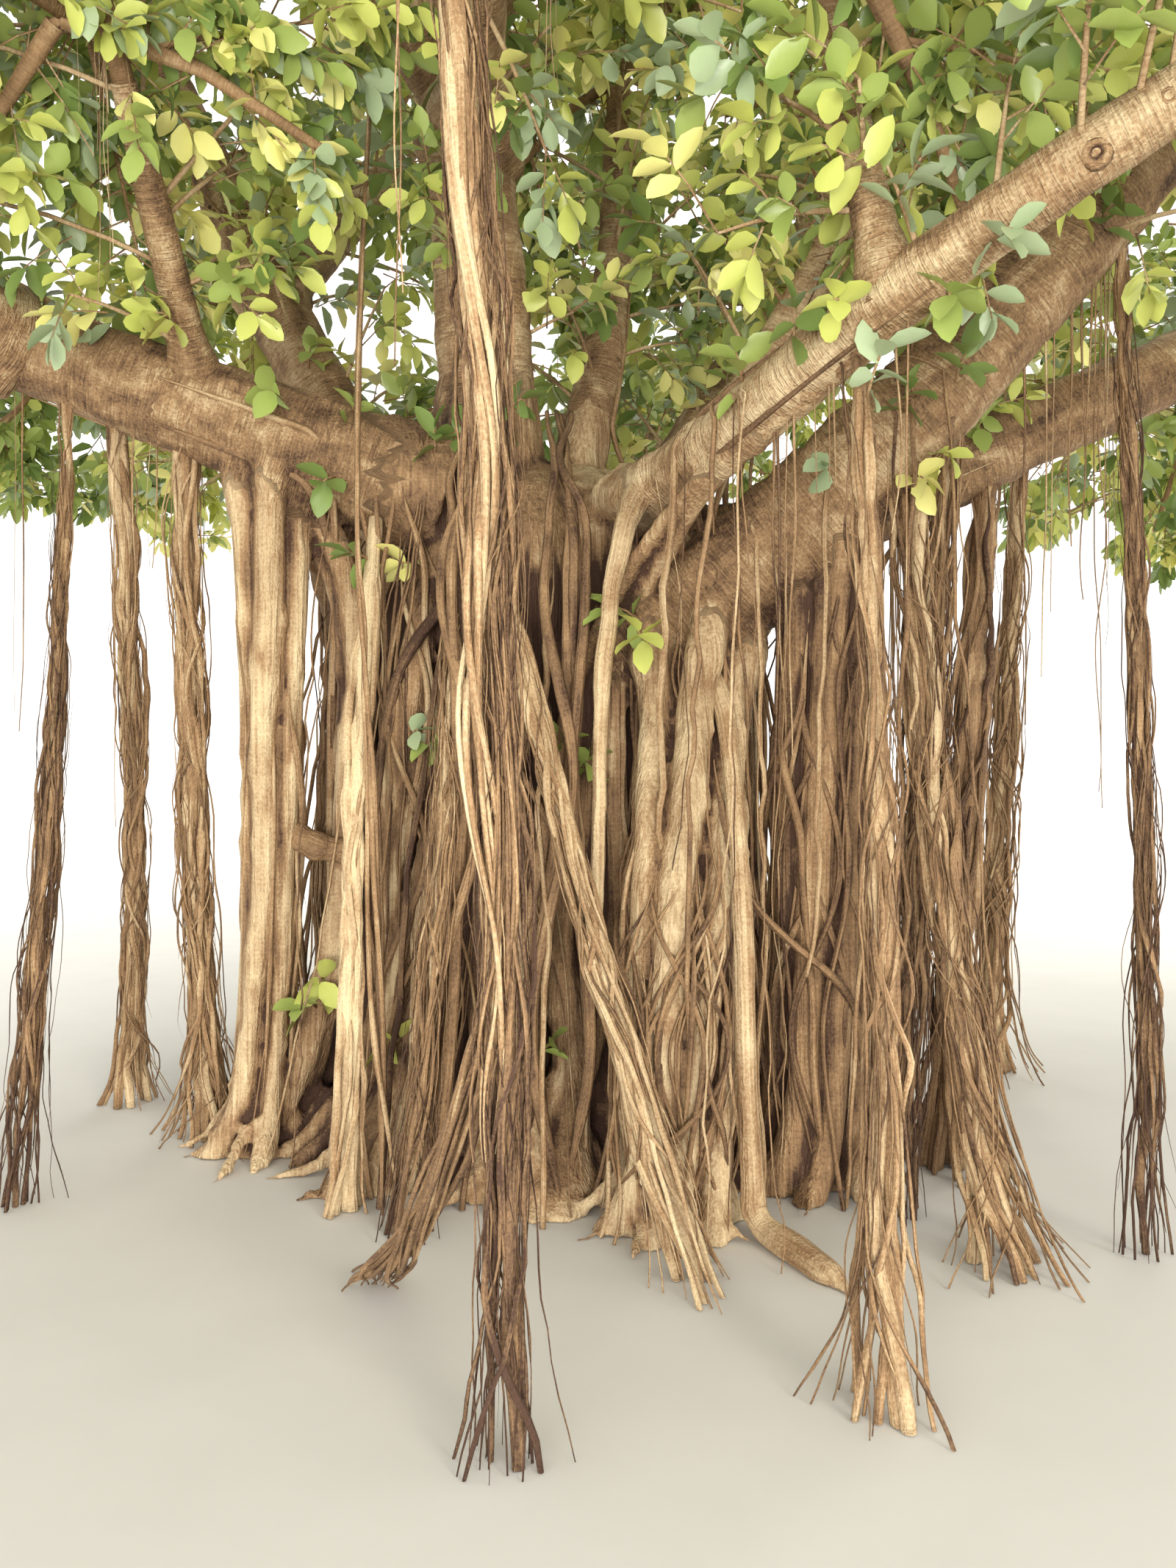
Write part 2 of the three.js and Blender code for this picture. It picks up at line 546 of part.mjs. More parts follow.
function growMass(mass, index) {
  const random = seeded(SEED + index);
  const stem = stemLine(mass, limbs[index]);
  const thick = boughRadius(mass.bough, 1) * STEM_WIDTH;
  const solids = [limbSolid(stem, [thick, thick, thick * STEM_TAPER], STEM_SIDES)];
  const turn = random() * 2 * Math.PI;
  const blades = [];
  for (let k = 0; k < TWIGS; k++) {
    const twig = twigLine(mass, stem[1], k, turn, random);
    if (!twig) {
      continue;
    }
    solids.push(limbSolid(twig, TWIG_RADII.map((radius) => radius * M), 3));
    for (let j = 0; j < BLADES; j++) {
      const blade = bladeOn(twig, j, mass, blades, random);
      if (blade) {
        blades.push(blade);
        solids.push(bladeSolid(blade));
      }
    }
  }
  return largestOf(wasm.Manifold.union(solids)).simplify(MASS_DETAIL);
}

masses.forEach((mass, index) => {
  addNode("foliage_" + mass.bough.name, growMass(mass, index), "leaf");
});

export default tree;
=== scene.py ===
"""The looks of a Moreton Bay fig: bark on a trunk of fused roots, boughs, aerial roots and foliage.

Metres, +Z up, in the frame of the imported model. Limbs and foliage follow the same tables and the
same seeded rule as the solids, and go on from there to finer strands, twigs and leaves.
"""
import json
import math

import bpy
import numpy as np
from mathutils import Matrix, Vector
from mathutils.bvhtree import BVHTree
from mathutils.kdtree import KDTree

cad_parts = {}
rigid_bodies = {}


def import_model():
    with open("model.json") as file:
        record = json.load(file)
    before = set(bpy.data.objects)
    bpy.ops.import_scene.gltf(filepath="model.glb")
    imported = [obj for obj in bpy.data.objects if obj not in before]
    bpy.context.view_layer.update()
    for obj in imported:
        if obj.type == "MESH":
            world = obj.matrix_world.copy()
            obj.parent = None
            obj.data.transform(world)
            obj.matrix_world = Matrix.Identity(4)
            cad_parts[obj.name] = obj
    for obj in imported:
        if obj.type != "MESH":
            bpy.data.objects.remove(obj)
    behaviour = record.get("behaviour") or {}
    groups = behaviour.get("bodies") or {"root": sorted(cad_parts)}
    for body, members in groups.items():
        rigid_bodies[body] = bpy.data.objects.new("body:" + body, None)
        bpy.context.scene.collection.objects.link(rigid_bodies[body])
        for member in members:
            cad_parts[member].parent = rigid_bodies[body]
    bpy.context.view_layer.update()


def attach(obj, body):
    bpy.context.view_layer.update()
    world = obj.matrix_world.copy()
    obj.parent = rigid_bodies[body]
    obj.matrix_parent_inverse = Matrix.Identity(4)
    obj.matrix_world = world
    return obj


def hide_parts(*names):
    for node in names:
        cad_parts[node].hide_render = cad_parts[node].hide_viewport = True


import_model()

# The tree's driving sizes, as in the solids.
TRUNK = dict(centre=(-0.1, 0.08), half=(0.95, 0.85), top=3.0, shoulder=2.35, crown=0.5,
             lobes=15, drift=(0.25, 0.12), fluting=0.13, flare=0.3, flare_height=0.33,
             flare_fluting=0.6, twist=0.5)
BOUGHS = [
    dict(name="right_main", start=(0.15, -0.4, 2.1), tip=(3.3, -0.5, 5.2), sag=0.34,
         bow=(0, -0.55), radii=(0.23, 0.1), half=(2.3, 1.8), floor=4.3),
    dict(name="left", start=(-0.5, -0.35, 2.72), tip=(-4.2, -0.75, 3.95), sag=0,
         bow=(0, -0.08), radii=(0.22, 0.08), half=(2.5, 2.0), floor=2.9),
    dict(name="leader", start=(-0.3, -0.1, 2.6), tip=(-0.62, 0.1, 7.6), sag=0,
         bow=(0, -0.3), radii=(0.21, 0.08), half=(2.4, 2.0), floor=6.9),
    dict(name="left_back", start=(-0.5, 0.25, 2.6), tip=(-2.6, 1.2, 6.2), sag=0.42,
         bow=(0, 0.05), radii=(0.2, 0.08), half=(2.4, 2.0), floor=4.6),
    dict(name="right_back", start=(0.4, 0.05, 2.5), tip=(4.4, 0.6, 4.2), sag=0.15,
         bow=(0, -0.5), radii=(0.2, 0.08), half=(2.4, 2.0), floor=2.4),
    dict(name="back", start=(0.05, 0.4, 2.5), tip=(0.6, 4.2, 4.3), sag=0.15,
         bow=(0.1, 0), radii=(0.19, 0.08), half=(2.5, 2.0), floor=3.7),
    dict(name="back_left", start=(-0.5, 0.4, 2.45), tip=(-2.8, 3.0, 4.5), sag=0.15,
         bow=(-0.2, 0), radii=(0.17, 0.07), half=(2.7, 2.1), floor=3.4),
    dict(name="right_low", start=(0.35, 0.3, 2.45), tip=(3.9, 2.9, 4.2), sag=0.12,
         bow=(0.2, -0.9), radii=(0.15, 0.07), half=(2.5, 2.0), floor=3.2),
    dict(name="right_front", start=(0.25, -0.45, 2.7), tip=(2.6, -2.7, 3.75), sag=0.18,
         bow=(-0.25, -0.45), radii=(0.12, 0.055), half=(2.4, 1.9), floor=2.8),
    dict(name="back_right", start=(0.2, 0.35, 2.6), tip=(2.0, 2.5, 6.0), sag=0.2,
         bow=(0, 0), radii=(0.17, 0.07), half=(2.4, 2.0), floor=4.6),
    dict(name="upright", start=(0.35, -0.1, 2.6), tip=(1.3, -0.25, 4.3), sag=0,
         bow=(0.12, -0.08), radii=(0.12, 0.05), half=(1.4, 1.1), floor=3.3, set=0.3),
    dict(name="inner_back", start=(-0.05, 0.15, 2.6), tip=(0.25, 0.9, 5.0), sag=0,
         bow=(0.1, 0), radii=(0.13, 0.06), half=(1.9, 1.5), floor=3.4, set=0.2),
    dict(name="front", parent="leader", at=0.33, tip=(-0.6, -4.0, 4.9), sag=0.05,
         bow=(0.22, 0), radii=(0.13, 0.06), half=(2.5, 1.9), floor=3.5),
    dict(name="front_high", parent="leader", at=0.46, tip=(1.0, -2.6, 6.2), sag=0.1,
         bow=(0, 0), radii=(0.13, 0.06), half=(2.4, 1.9), floor=5.2),
    dict(name="left_high", parent="leader", at=0.4, tip=(-2.5, -2.0, 6.2), sag=0.1,
         bow=(0, 0), radii=(0.13, 0.06), half=(2.4, 1.9), floor=4.9),
    dict(name="top_right", parent="leader", at=0.58, tip=(1.6, 0, 7.0), sag=0.1,
         bow=(0, 0), radii=(0.12, 0.06), half=(2.2, 1.9), floor=6.2),
    dict(name="back_high", parent="left_back", at=0.5, tip=(-0.8, 2.8, 6.3), sag=0.1,
         bow=(0, 0), radii=(0.12, 0.06), half=(2.4, 2.0), floor=5.0),
    dict(name="front_left", parent="left", at=0.46, tip=(-3.4, -3.3, 4.6), sag=0.05,
         bow=(-0.2, 0), radii=(0.12, 0.06), half=(2.5, 2.0), floor=3.0),
    dict(name="left_inner", parent="left", at=0.26, tip=(-1.5, -1.25, 3.95), sag=0,
         bow=(0, 0), radii=(0.07, 0.045), half=(1.3, 1.0), floor=2.95, set=0.2),
    dict(name="front_inner", parent="right_front", at=0.42, tip=(0.8, -1.9, 3.75), sag=0,
         bow=(0, 0), radii=(0.06, 0.045), half=(1.25, 0.95), floor=2.85, set=0.15),
]
BOUGH_STEPS = 6
BOUGH_TAPER = 1.3
SAG_SKEW = 0.6
COLLAR = 0.25
COLLAR_SHARE = 0.06

# Aerial roots: kind and tone are for the looks alone. A tone of 0 is dark reddish brown bark,
# and 1 is pale and smooth.
ROOTS = [
    dict(name="column_left", bough="left", at=0.19, foot=(-1.27, -0.42), bow=(0.04, -0.03),
         radii=(0.17, 0.125, 0.11), flare=0.13, strands=5, kind="column", tone=0.56),
    dict(name="column_front_right", bough="right_main", at=0.12, foot=(0.38, -1.17),
         bow=(0, -0.12), radii=(0.23, 0.22, 0.2), flare=0.08, strands=7, kind="column", tone=0.49),
    dict(name="column_right", bough="right_main", at=0.27, foot=(0.97, -0.78), bow=(0, 0),
         radii=(0.17, 0.19, 0.2), flare=0.1, strands=7, kind="column", tone=0.3),
    dict(name="column_back", bough="back", at=0.22, foot=(0.35, 1.5), bow=(0, 0.06),
         radii=(0.17, 0.15, 0.14), flare=0.12, strands=6, kind="column", tone=0.6),
    dict(name="pillar_left_near", bough="left", at=0.28, foot=(-1.55, -0.18), bow=(-0.02, 0),
         radii=(0.075, 0.07, 0.075), flare=0.1, strands=4, kind="rope", tone=0.5),
    dict(name="pillar_left_far", bough="left", at=0.355, foot=(-2.08, 0.3), bow=(0.05, 0),
         radii=(0.06, 0.055, 0.06), flare=0.07, strands=3, kind="rope", tone=0.5),
    dict(name="pillar_front_left", bough="left", at=0.07, foot=(-0.78, -1.05),
         bow=(0.02, -0.28), radii=(0.05, 0.045, 0.045), flare=0.03, strands=3, kind="pillar",
         tone=0.8),
    dict(name="pillar_right_front", bough="right_front", at=0.38, foot=(0.83, -2.42),
         bow=(0.05, 0.05), radii=(0.06, 0.055, 0.06), flare=0.02, strands=4, kind="rope",
         tone=0.46),
    dict(name="pillar_right_lean", bough="right_main", at=0.36, foot=(1.44, -1.54),
         bow=(-0.06, 0.02), radii=(0.08, 0.07, 0.075), flare=0.09, strands=4, kind="rope",
         tone=0.45),
    dict(name="pillar_right_back", bough="right_back", at=0.36, foot=(1.52, -0.62),
         bow=(-0.02, 0), radii=(0.09, 0.09, 0.1), flare=0.1, strands=5, kind="pillar",
         tone=0.3),
    dict(name="pillar_back_left", bough="back_left", at=0.42, foot=(-1.75, 1.8), bow=(0.05, 0),
         radii=(0.09, 0.08, 0.085), flare=0.1, strands=4, kind="rope", tone=0.5),
    dict(name="pillar_back_right", bough="right_low", at=0.5, foot=(2.2, 0.85), bow=(0, 0.05),
         radii=(0.08, 0.075, 0.08), flare=0.09, strands=4, kind="rope", tone=0.5),
    dict(name="diagonal_front", start=(-0.3, -0.6, 2.62), foot=(0.43, -1.7),
         bow=(-0.03, -0.05), radii=(0.06, 0.055, 0.06), flare=0.05, strands=4, kind="rope",
         tone=0.6),
    dict(name="curtain_right", bough="right_main", at=0.41, foot=(1.2, -1.08), bow=(0, 0),
         radii=(0.09, 0.075, 0.05), flare=0, strands=5, kind="hanging", tone=0.3),
    dict(name="hanging_front", bough="front", at=0.56, foot=(-0.085, -2.61), bow=(0.05, 0.03),
         radii=(0.045, 0.075, 0.05), flare=0, strands=5, kind="hanging", tone=0.34),
    dict(name="hanging_left", bough="left", at=0.4, foot=(-1.98, -1.03), bow=(0.02, 0.03),
         radii=(0.035, 0.045, 0.06), flare=0, strands=4, kind="hanging", tone=0.3),
    dict(name="hanging_centre", start=(-0.4, -0.6, 2.6), foot=(-0.52, -1.3), bow=(0.03, -0.1),
         radii=(0.05, 0.05, 0.06), flare=0, strands=4, kind="hanging", tone=0.5),
    dict(name="hanging_right", bough="right_main", at=0.6, foot=(1.93, -1.46), bow=(0.03, 0),
         radii=(0.03, 0.04, 0.05), flare=0, strands=3, kind="hanging", tone=0.25),
    dict(name="hanging_back", bough="back", at=0.55, foot=(0.1, 2.6), bow=(0, 0),
         radii=(0.04, 0.05, 0.05), flare=0, strands=3, kind="hanging", tone=0.35),
]
ROOT_LEVELS = (0, 0.05, 0.15, 0.4, 0.7, 1)
STRAND_TURN = 0.25
FLARE_HEIGHT = 0.16

# The rule of the foliage, as in the solids.
HEART = np.array((0, 0, 3.2))
MASS_SET = 0.55
MASS_MARGIN = 0.06
STEM_GAP = 0.0003
STEM_WIDTH = 0.9
STEM_TAPER = 0.45
NECK = 0.25
STEM_SHARE = (0.3, 0.68)
TWIGS = 5
TWIG_REACH = 0.72
TWIG_VARIES = (0.9, 0.2)  # the least share of the reach, and what chance adds to it
TWIG_RADII = (0.034, 0.025, 0.016)
TWIG_TRIALS = (0.15, 0.3, 0.45, 0.6, 0.75, 0.9)
TWIG_ARCH = 0.07
BLADES = 5
BLADE_FIRST = 0.3
BLADE_LENGTH = 1.45
BLADE_VARIES = (0.8, 0.35)
BLADE_WAVER = 0.3
BLADE_WIDTH = 0.65
BLADE_WIDEST = 0.55
BLADE_TRIALS = (0.2, 0.4, 0.55, 0.7, 0.85, 1)
BLADE_TILT = 0.7
BLADE_SPREAD = 0.95
BLADE_SINK = 0.025
BLADE_APART = 0.65
LIMB_PAD = 0.09
TRUNK_KEEP = dict(radius=1.25, height=3.2)
SHRINK = 0.8
SHRINK_TRIES = 5
SEED = 7300
GOLDEN_ANGLE = math.pi * (3 - math.sqrt(5))

# The photograph was taken at eye height, level, from 5.3 m in front of the trunk. Its pixels run
# right and down from its upper left corner.
EYE = (0.1, -5.3, 1.6)
LENS = 27
SENSOR = 36
PHOTO = dict(width=1600, height=2133, centre=(800, 1040))

WORD = 0xFFFFFFFF


def seeded(seed):
    """The solids' own source of numbers from 0 to 1."""
    state = seed

    def draw():
        nonlocal state
        state = (state + 0x6D2B79F5) & WORD
        mixed = ((state ^ (state >> 15)) * (1 | state)) & WORD
        mixed = ((mixed + (mixed ^ (mixed >> 7)) * (61 | mixed)) & WORD) ^ mixed
        return (mixed ^ (mixed >> 14)) / 2**32

    return draw


def unit(vectors):
    """Vectors of length 1 in the same directions."""
    return vectors / np.maximum(np.linalg.norm(vectors, axis=-1, keepdims=True), 1e-9)


def dot(a, b):
    return (a * b).sum(axis=-1, keepdims=True)


def lattice(cells, seed):
    """A number from 0 to 1 for each whole-numbered cell."""
    mixed = cells[:, 0] * 374761393 + cells[:, 1] * 668265263 + cells[:, 2] * 1103515245
    mixed = (mixed + seed * 974634777) & WORD
    mixed = ((mixed ^ (mixed >> 13)) * 1274126177) & WORD
    return (mixed ^ (mixed >> 16)) / 2**32


def noise(points, seed):
    """Smooth noise from -1 to 1 at each point. Each use of it has a seed of its own."""
    cells = np.floor(points).astype(np.int64)
    part = points - cells
    ease = part * part * (3 - 2 * part)
    total = np.zeros(len(points))
    for corner in range(8):
        step = np.array([(corner >> axis) & 1 for axis in range(3)])
        weight = np.where(step, ease, 1 - ease).prod(axis=1)
        total += weight * lattice(cells + step, seed)
    return total * 2 - 1


def waver(run, phase, seed):
    """Noise along a line, where lines of different phases don't match."""
    return noise(np.stack([run, 0 * run + phase, 0 * run], 1), seed)


def sway(run, phase, seeds):
    """Level offsets that change smoothly along a line."""
    return np.stack([waver(run, phase, seed) for seed in seeds] + [0 * run], 1)


def around(reach, angle):
    """Level offsets of some reach at an angle."""
    return np.stack([reach * np.cos(angle), reach * np.sin(angle), 0 * reach], 1)


def resampled(line, known, wanted):
    """A line whose points lie at known shares, read at the wanted ones."""
    return np.stack([np.interp(wanted, known, line[:, axis]) for axis in range(3)], 1)


def gathered(strands):
    """Makes a function that yields a line and radii for each strand give arrays of both."""
    def both(*given):
        lines, radii = zip(*strands(*given))
        return np.array(lines), np.array(radii)

    return both


def dealt(random, mean, varies, count, low=0, high=1):
    """Tones about a mean, kept between two bounds."""
    return np.clip(random.normal(mean, varies, count), low, high)


def placed(name, data):
    """A new object in the scene."""
    thing = bpy.data.objects.new(name, data)
    bpy.context.scene.collection.objects.link(thing)
    return thing


SMOOTH_CORNERS = 4  # faces with more corners are the ends of tubes, and stay flat
MIDDLE_TONE = 0.5


class Shape:
    """Vertices and faces gathered for one mesh, with each vertex's tone and bark coordinates."""

    def __init__(self):
        self.points = []
        self.faces = []
        self.tones = []
        self.flows = []
        self.finishes = []
        self.count = 0

    def add(self, points, faces, tones=MIDDLE_TONE, flows=None, finishes=None):
        """faces is a list of arrays, each of faces with the same number of corners. finishes has
        an array for each of them, with the number of each face's material; without it that is 0."""
        self.points.append(points)
        self.tones.append(np.broadcast_to(tones, len(points)))
        self.flows.append(points if flows is None else flows)
        for k, group in enumerate(faces):
            self.faces.append(group + self.count)
            self.finishes.append(finishes[k] if finishes else np.zeros(len(group)))
        self.count += len(points)

    def sizes(self):
        """How many corners each face has."""
        return np.concatenate([np.full(len(group), group.shape[1]) for group in self.faces])

    def mesh(self, name):
        """The gathered vertices and faces as one mesh."""
        mesh = bpy.data.meshes.new(name)
        points = np.concatenate(self.points)
        corners = np.concatenate([group.ravel() for group in self.faces])
        sizes = self.sizes()
        mesh.vertices.add(len(points))
        mesh.vertices.foreach_set("co", points.astype(np.float32).ravel())
        mesh.loops.add(len(corners))
        mesh.loops.foreach_set("vertex_index", corners.astype(np.int32))
        mesh.polygons.add(len(sizes))
        mesh.polygons.foreach_set("loop_start", (np.cumsum(sizes) - sizes).astype(np.int32))
        finishes = np.concatenate(self.finishes).astype(np.int32)
        mesh.polygons.foreach_set("material_index", finishes)
        mesh.update(calc_edges=True)
        return mesh

    def piece(self, name, materials, slot, nodes=()):
        """Makes the mesh a piece of the tree, in place of these nodes."""
        mesh = self.mesh(name)
        tones = mesh.attributes.new("tone", "FLOAT", "POINT")
        tones.data.foreach_set("value", np.concatenate(self.tones).astype(np.float32))
        flows = mesh.attributes.new("flow", "FLOAT_VECTOR", "POINT")
        flows.data.foreach_set("vector", np.concatenate(self.flows).astype(np.float32).ravel())
        for material in materials:
            mesh.materials.append(material)
        mesh.polygons.foreach_set("use_smooth", self.sizes() <= SMOOTH_CORNERS)
        piece = placed(name, mesh)
        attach(piece, "root")
        if nodes:
            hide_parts(*nodes)


# Directions that no tube, bough, knot or spray has, from which a cross direction is made
TUBE_SIDE = (0.3, 1, 0.2)
BARK_SIDE = (0.3, 0.9, 0.2)
KNOT_SIDE = (0.2, 0.3, 0.9)
SPRAY_SIDE = (0.31, 0.22, 0.93)


def frames_along(lines):
    """Unit vectors along and across each point of each line, carried on without twisting."""
    along = np.empty_like(lines)
    along[:, 1:-1] = lines[:, 2:] - lines[:, :-2]
    along[:, 0] = lines[:, 1] - lines[:, 0]
    along[:, -1] = lines[:, -1] - lines[:, -2]
    along = unit(along)
    across = np.empty_like(lines)
    carried = np.broadcast_to(np.array(TUBE_SIDE), lines[:, 0].shape)
    for step in range(lines.shape[1]):
        carried = unit(carried - along[:, step] * dot(carried, along[:, step]))
        across[:, step] = carried
    return along, across, np.cross(along, across)


def tube_faces(count, steps, sides):
    """Quads round each tube, and a face over each end."""
    tube, step, side = np.meshgrid(
        np.arange(count), np.arange(steps - 1), np.arange(sides), indexing="ij")
    ring = (tube * steps + step) * sides
    following = (side + 1) % sides
    quads = np.stack([ring + side, ring + following, ring + sides + following,
                      ring + sides + side], axis=-1).reshape(-1, 4)
    first = np.arange(count)[:, None] * steps * sides + np.arange(sides)[None, ::-1]
    last = first[:, ::-1] + (steps - 1) * sides
    return [quads, first, last]


SINK = 0.02  # lines that end lower than this have feet cut level with the ground
STEEP = 0.5
FLOW_SHIFT = 0.37  # metres between the bark coordinates of one tube and the next


def add_tubes(shape, lines, radii, sides, tones=MIDDLE_TONE, relief=None):
    """Adds closed tubes along a batch of lines: (count, steps, 3), with radii (count, steps).

    relief(flow, radius) gives how far each vertex stands out. tones is one number for all
    tubes, one for each, or one for each step of each."""
    count, steps = lines.shape[:2]
    along, across, over = frames_along(lines)
    angles = np.arange(sides) * 2 * math.pi / sides
    outward = (across[:, :, None] * np.cos(angles)[None, None, :, None]
               + over[:, :, None] * np.sin(angles)[None, None, :, None])
    reach = np.repeat(radii[:, :, None], sides, axis=2)
    lengths = np.linalg.norm(np.diff(lines, axis=1), axis=2)
    run = np.concatenate([np.zeros((count, 1)), np.cumsum(lengths, axis=1)], axis=1)
    flows = np.empty((count, steps, sides, 3))
    flows[..., 0] = reach * np.cos(angles) + np.arange(count)[:, None, None] * FLOW_SHIFT
    flows[..., 1] = reach * np.sin(angles)
    flows[..., 2] = run[:, :, None] + lines[:, :1, 0, None]
    flows = flows.reshape(-1, 3)
    if relief:
        reach = reach + relief(flows, reach.ravel()).reshape(reach.shape)
    points = lines[:, :, None] + outward * reach[..., None]
    for end in (0, -1):
        steep = (np.abs(along[:, end, 2]) > STEEP) & (lines[:, end, 2] < SINK)
        way = along[:, end] / np.where(steep, along[:, end, 2], 1)[:, None]
        drop = points[:, end, :, 2] * steep[:, None]
        points[:, end] -= way[:, None] * drop[..., None]
    points = points.reshape(-1, 3)
    points[:, 2] = np.maximum(points[:, 2], 0)
    tones = np.asarray(tones, float)
    if tones.ndim < 2:
        tones = tones.reshape(-1, 1)
    tones = np.repeat(np.broadcast_to(tones, (count, steps)).ravel(), sides)
    shape.add(points, tube_faces(count, steps, sides), tones, flows)


# Limbs


def trunk_point(angle, height):
    """Points of the trunk's skin, as in the solids."""
    turn = TRUNK["twist"] * height / TRUNK["top"]
    wide, narrow = TRUNK["drift"]
    uneven = angle + wide * np.sin(2 * angle + 1) + narrow * np.sin(3 * angle)
    bulge = np.abs(np.cos(TRUNK["lobes"] / 2 * uneven + turn)) - 2 / math.pi
    flare = TRUNK["flare"] * np.exp(-height / TRUNK["flare_height"])
    closing = (height - TRUNK["shoulder"]) / (TRUNK["top"] - TRUNK["shoulder"])
    closing = np.clip(closing, 0, 1)
    shoulder = np.sqrt(1 - closing**2 * (1 - TRUNK["crown"] ** 2))
    fluting = TRUNK["fluting"] + TRUNK["flare_fluting"] * flare
    scale = (1 + flare) * (1 + fluting * bulge) * shoulder
    return np.stack([
        TRUNK["centre"][0] + TRUNK["half"][0] * scale * np.cos(angle),
        TRUNK["centre"][1] + TRUNK["half"][1] * scale * np.sin(angle),
        height + 0 * angle,
    ], axis=-1)


def bough_points(bough, shares):
    """Points of a bough's middle line at shares of its length."""
    shares = np.asarray(shares, float)[..., None]
    points = bough["from"] + (bough["to"] - bough["from"]) * shares
    points = points + np.array((*bough["bow"], 0)) * np.sin(math.pi * shares)
    sag = bough["sag"] * np.sin(math.pi * shares**SAG_SKEW)
    return points - sag * np.array((0, 0, 1))


def bough_length(bough):
    return np.linalg.norm(bough["to"] - bough["from"])


def bough_radii(bough, shares):
    thick, thin = bough["radii"]
    collar = 1 + COLLAR * np.exp(-shares / COLLAR_SHARE)
    return (thick + (thin - thick) * shares**BOUGH_TAPER) * collar


def root_points(root, rises):
    """Points of a root's middle line at shares of its height."""
    foot = np.array((*root["foot"], 0))
    rises = np.asarray(rises, float)[..., None]
    bow = np.array((*root["bow"], 0)) * np.sin(math.pi * rises)
    return foot + (root["top"] - foot) * rises + bow


def root_radii(root, rises, heights, flare_share=1):
    """A root's radii at shares of its height, with all or a share of its flare."""
    high, middle, low = root["radii"]
    plain = np.interp(rises, (0, 0.5, 1), (low, middle, high))
    return plain + flare_share * root["flare"] * np.exp(-heights / FLARE_HEIGHT)


boughs = {}
for row in BOUGHS:
    parent = boughs.get(row.get("parent"))
    start = bough_points(parent, row["at"]) if parent else np.array(row["start"])
    boughs[row["name"]] = dict(row, **{"from": start, "to": np.array(row["tip"])})
trunk_boughs = [bough for bough in boughs.values() if "parent" not in bough]
for row in ROOTS:
    row["top"] = (bough_points(boughs[row["bough"]], row["at"]) if "bough" in row
                  else np.array(row["start"]))

limbs = []
for bough in boughs.values():
    shares = np.linspace(0, 1, BOUGH_STEPS + 1)
    limbs.append((bough_points(bough, shares), bough_radii(bough, shares)))
for row in ROOTS:
    levels = np.array(ROOT_LEVELS)
    points = root_points(row, levels)
    limbs.append((points, root_radii(row, levels, points[:, 2])))


def clearance(points):
    """Distance from each point to the nearest limb's skin."""
    least = np.full(len(points), np.inf)
    for line, radii in limbs:
        for i in range(len(line) - 1):
            way = line[i + 1] - line[i]
            share = np.clip((points - line[i]) @ way / (way @ way), 0, 1)
            gap = np.linalg.norm(points - line[i] - share[:, None] * way, axis=1)
            least = np.minimum(least, gap - radii[i] - (radii[i + 1] - radii[i]) * share)
    return least


def clear_of_limbs(points, pad=LIMB_PAD):
    """True for points that are clear of the trunk and of every limb by a pad."""
    flat = np.hypot(points[:, 0] - TRUNK["centre"][0], points[:, 1] - TRUNK["centre"][1])
    by_trunk = (flat < TRUNK_KEEP["radius"]) & (points[:, 2] < TRUNK_KEEP["height"])
    return ~by_trunk & (clearance(points) > pad)


# Foliage: the solids' rule, down to the blades


def mass_of(bough):
    """The space that a bough's foliage keeps to."""
    wide, high = bough["half"]
    outward = unit(bough["to"] - HEART)
    return dict(bough=bough, floor=bough["floor"], half=np.array((wide, wide, high)),
                centre=bough["to"] + outward * bough.get("set", MASS_SET) * wide)


masses = [mass_of(bough) for bough in boughs.values()]


def inside_mass(points, mass, margin=MASS_MARGIN):
    """True for points in a mass's space that are nearer to it than to any other mass."""
    off = points - mass["centre"]
    inside = (points[:, 2] >= mass["floor"]) & (np.linalg.norm(off / mass["half"], axis=1) <= 1)
    for other in masses:
        if other is not mass:
            apart = other["centre"] - mass["centre"]
            border = np.linalg.norm(apart) / 2 - margin
            inside &= off @ unit(apart) < border
    return inside


def room(points, mass):
    """True if all the points lie in the mass's space and clear of the limbs."""
    return bool((inside_mass(points, mass) & clear_of_limbs(points)).all())


def fitted(root, target, check):
    """Shortens the way from root to target until check() holds, or gives None."""
    for tries in range(SHRINK_TRIES):
        end = root + (target - root) * SHRINK**tries
        if check(end):
            return end
    return None


def on_twig(line, at):
    """The point of a bent twig at a share of its length."""
    root, middle, end = line
    if at < 0.5:
        return root + (middle - root) * at * 2
    return middle + (end - middle) * (at * 2 - 1)


def stem_line(mass):
    """A mass's stem, from just clear of its bough's tip to its middle."""
    bough = mass["bough"]
    shares = np.linspace(0, 1, BOUGH_STEPS + 1)
    along = frames_along(bough_points(bough, shares)[None])[0][0, -1]
    base = bough["to"] + along * STEM_GAP
    return np.array([base, base + along * NECK, mass["centre"]])


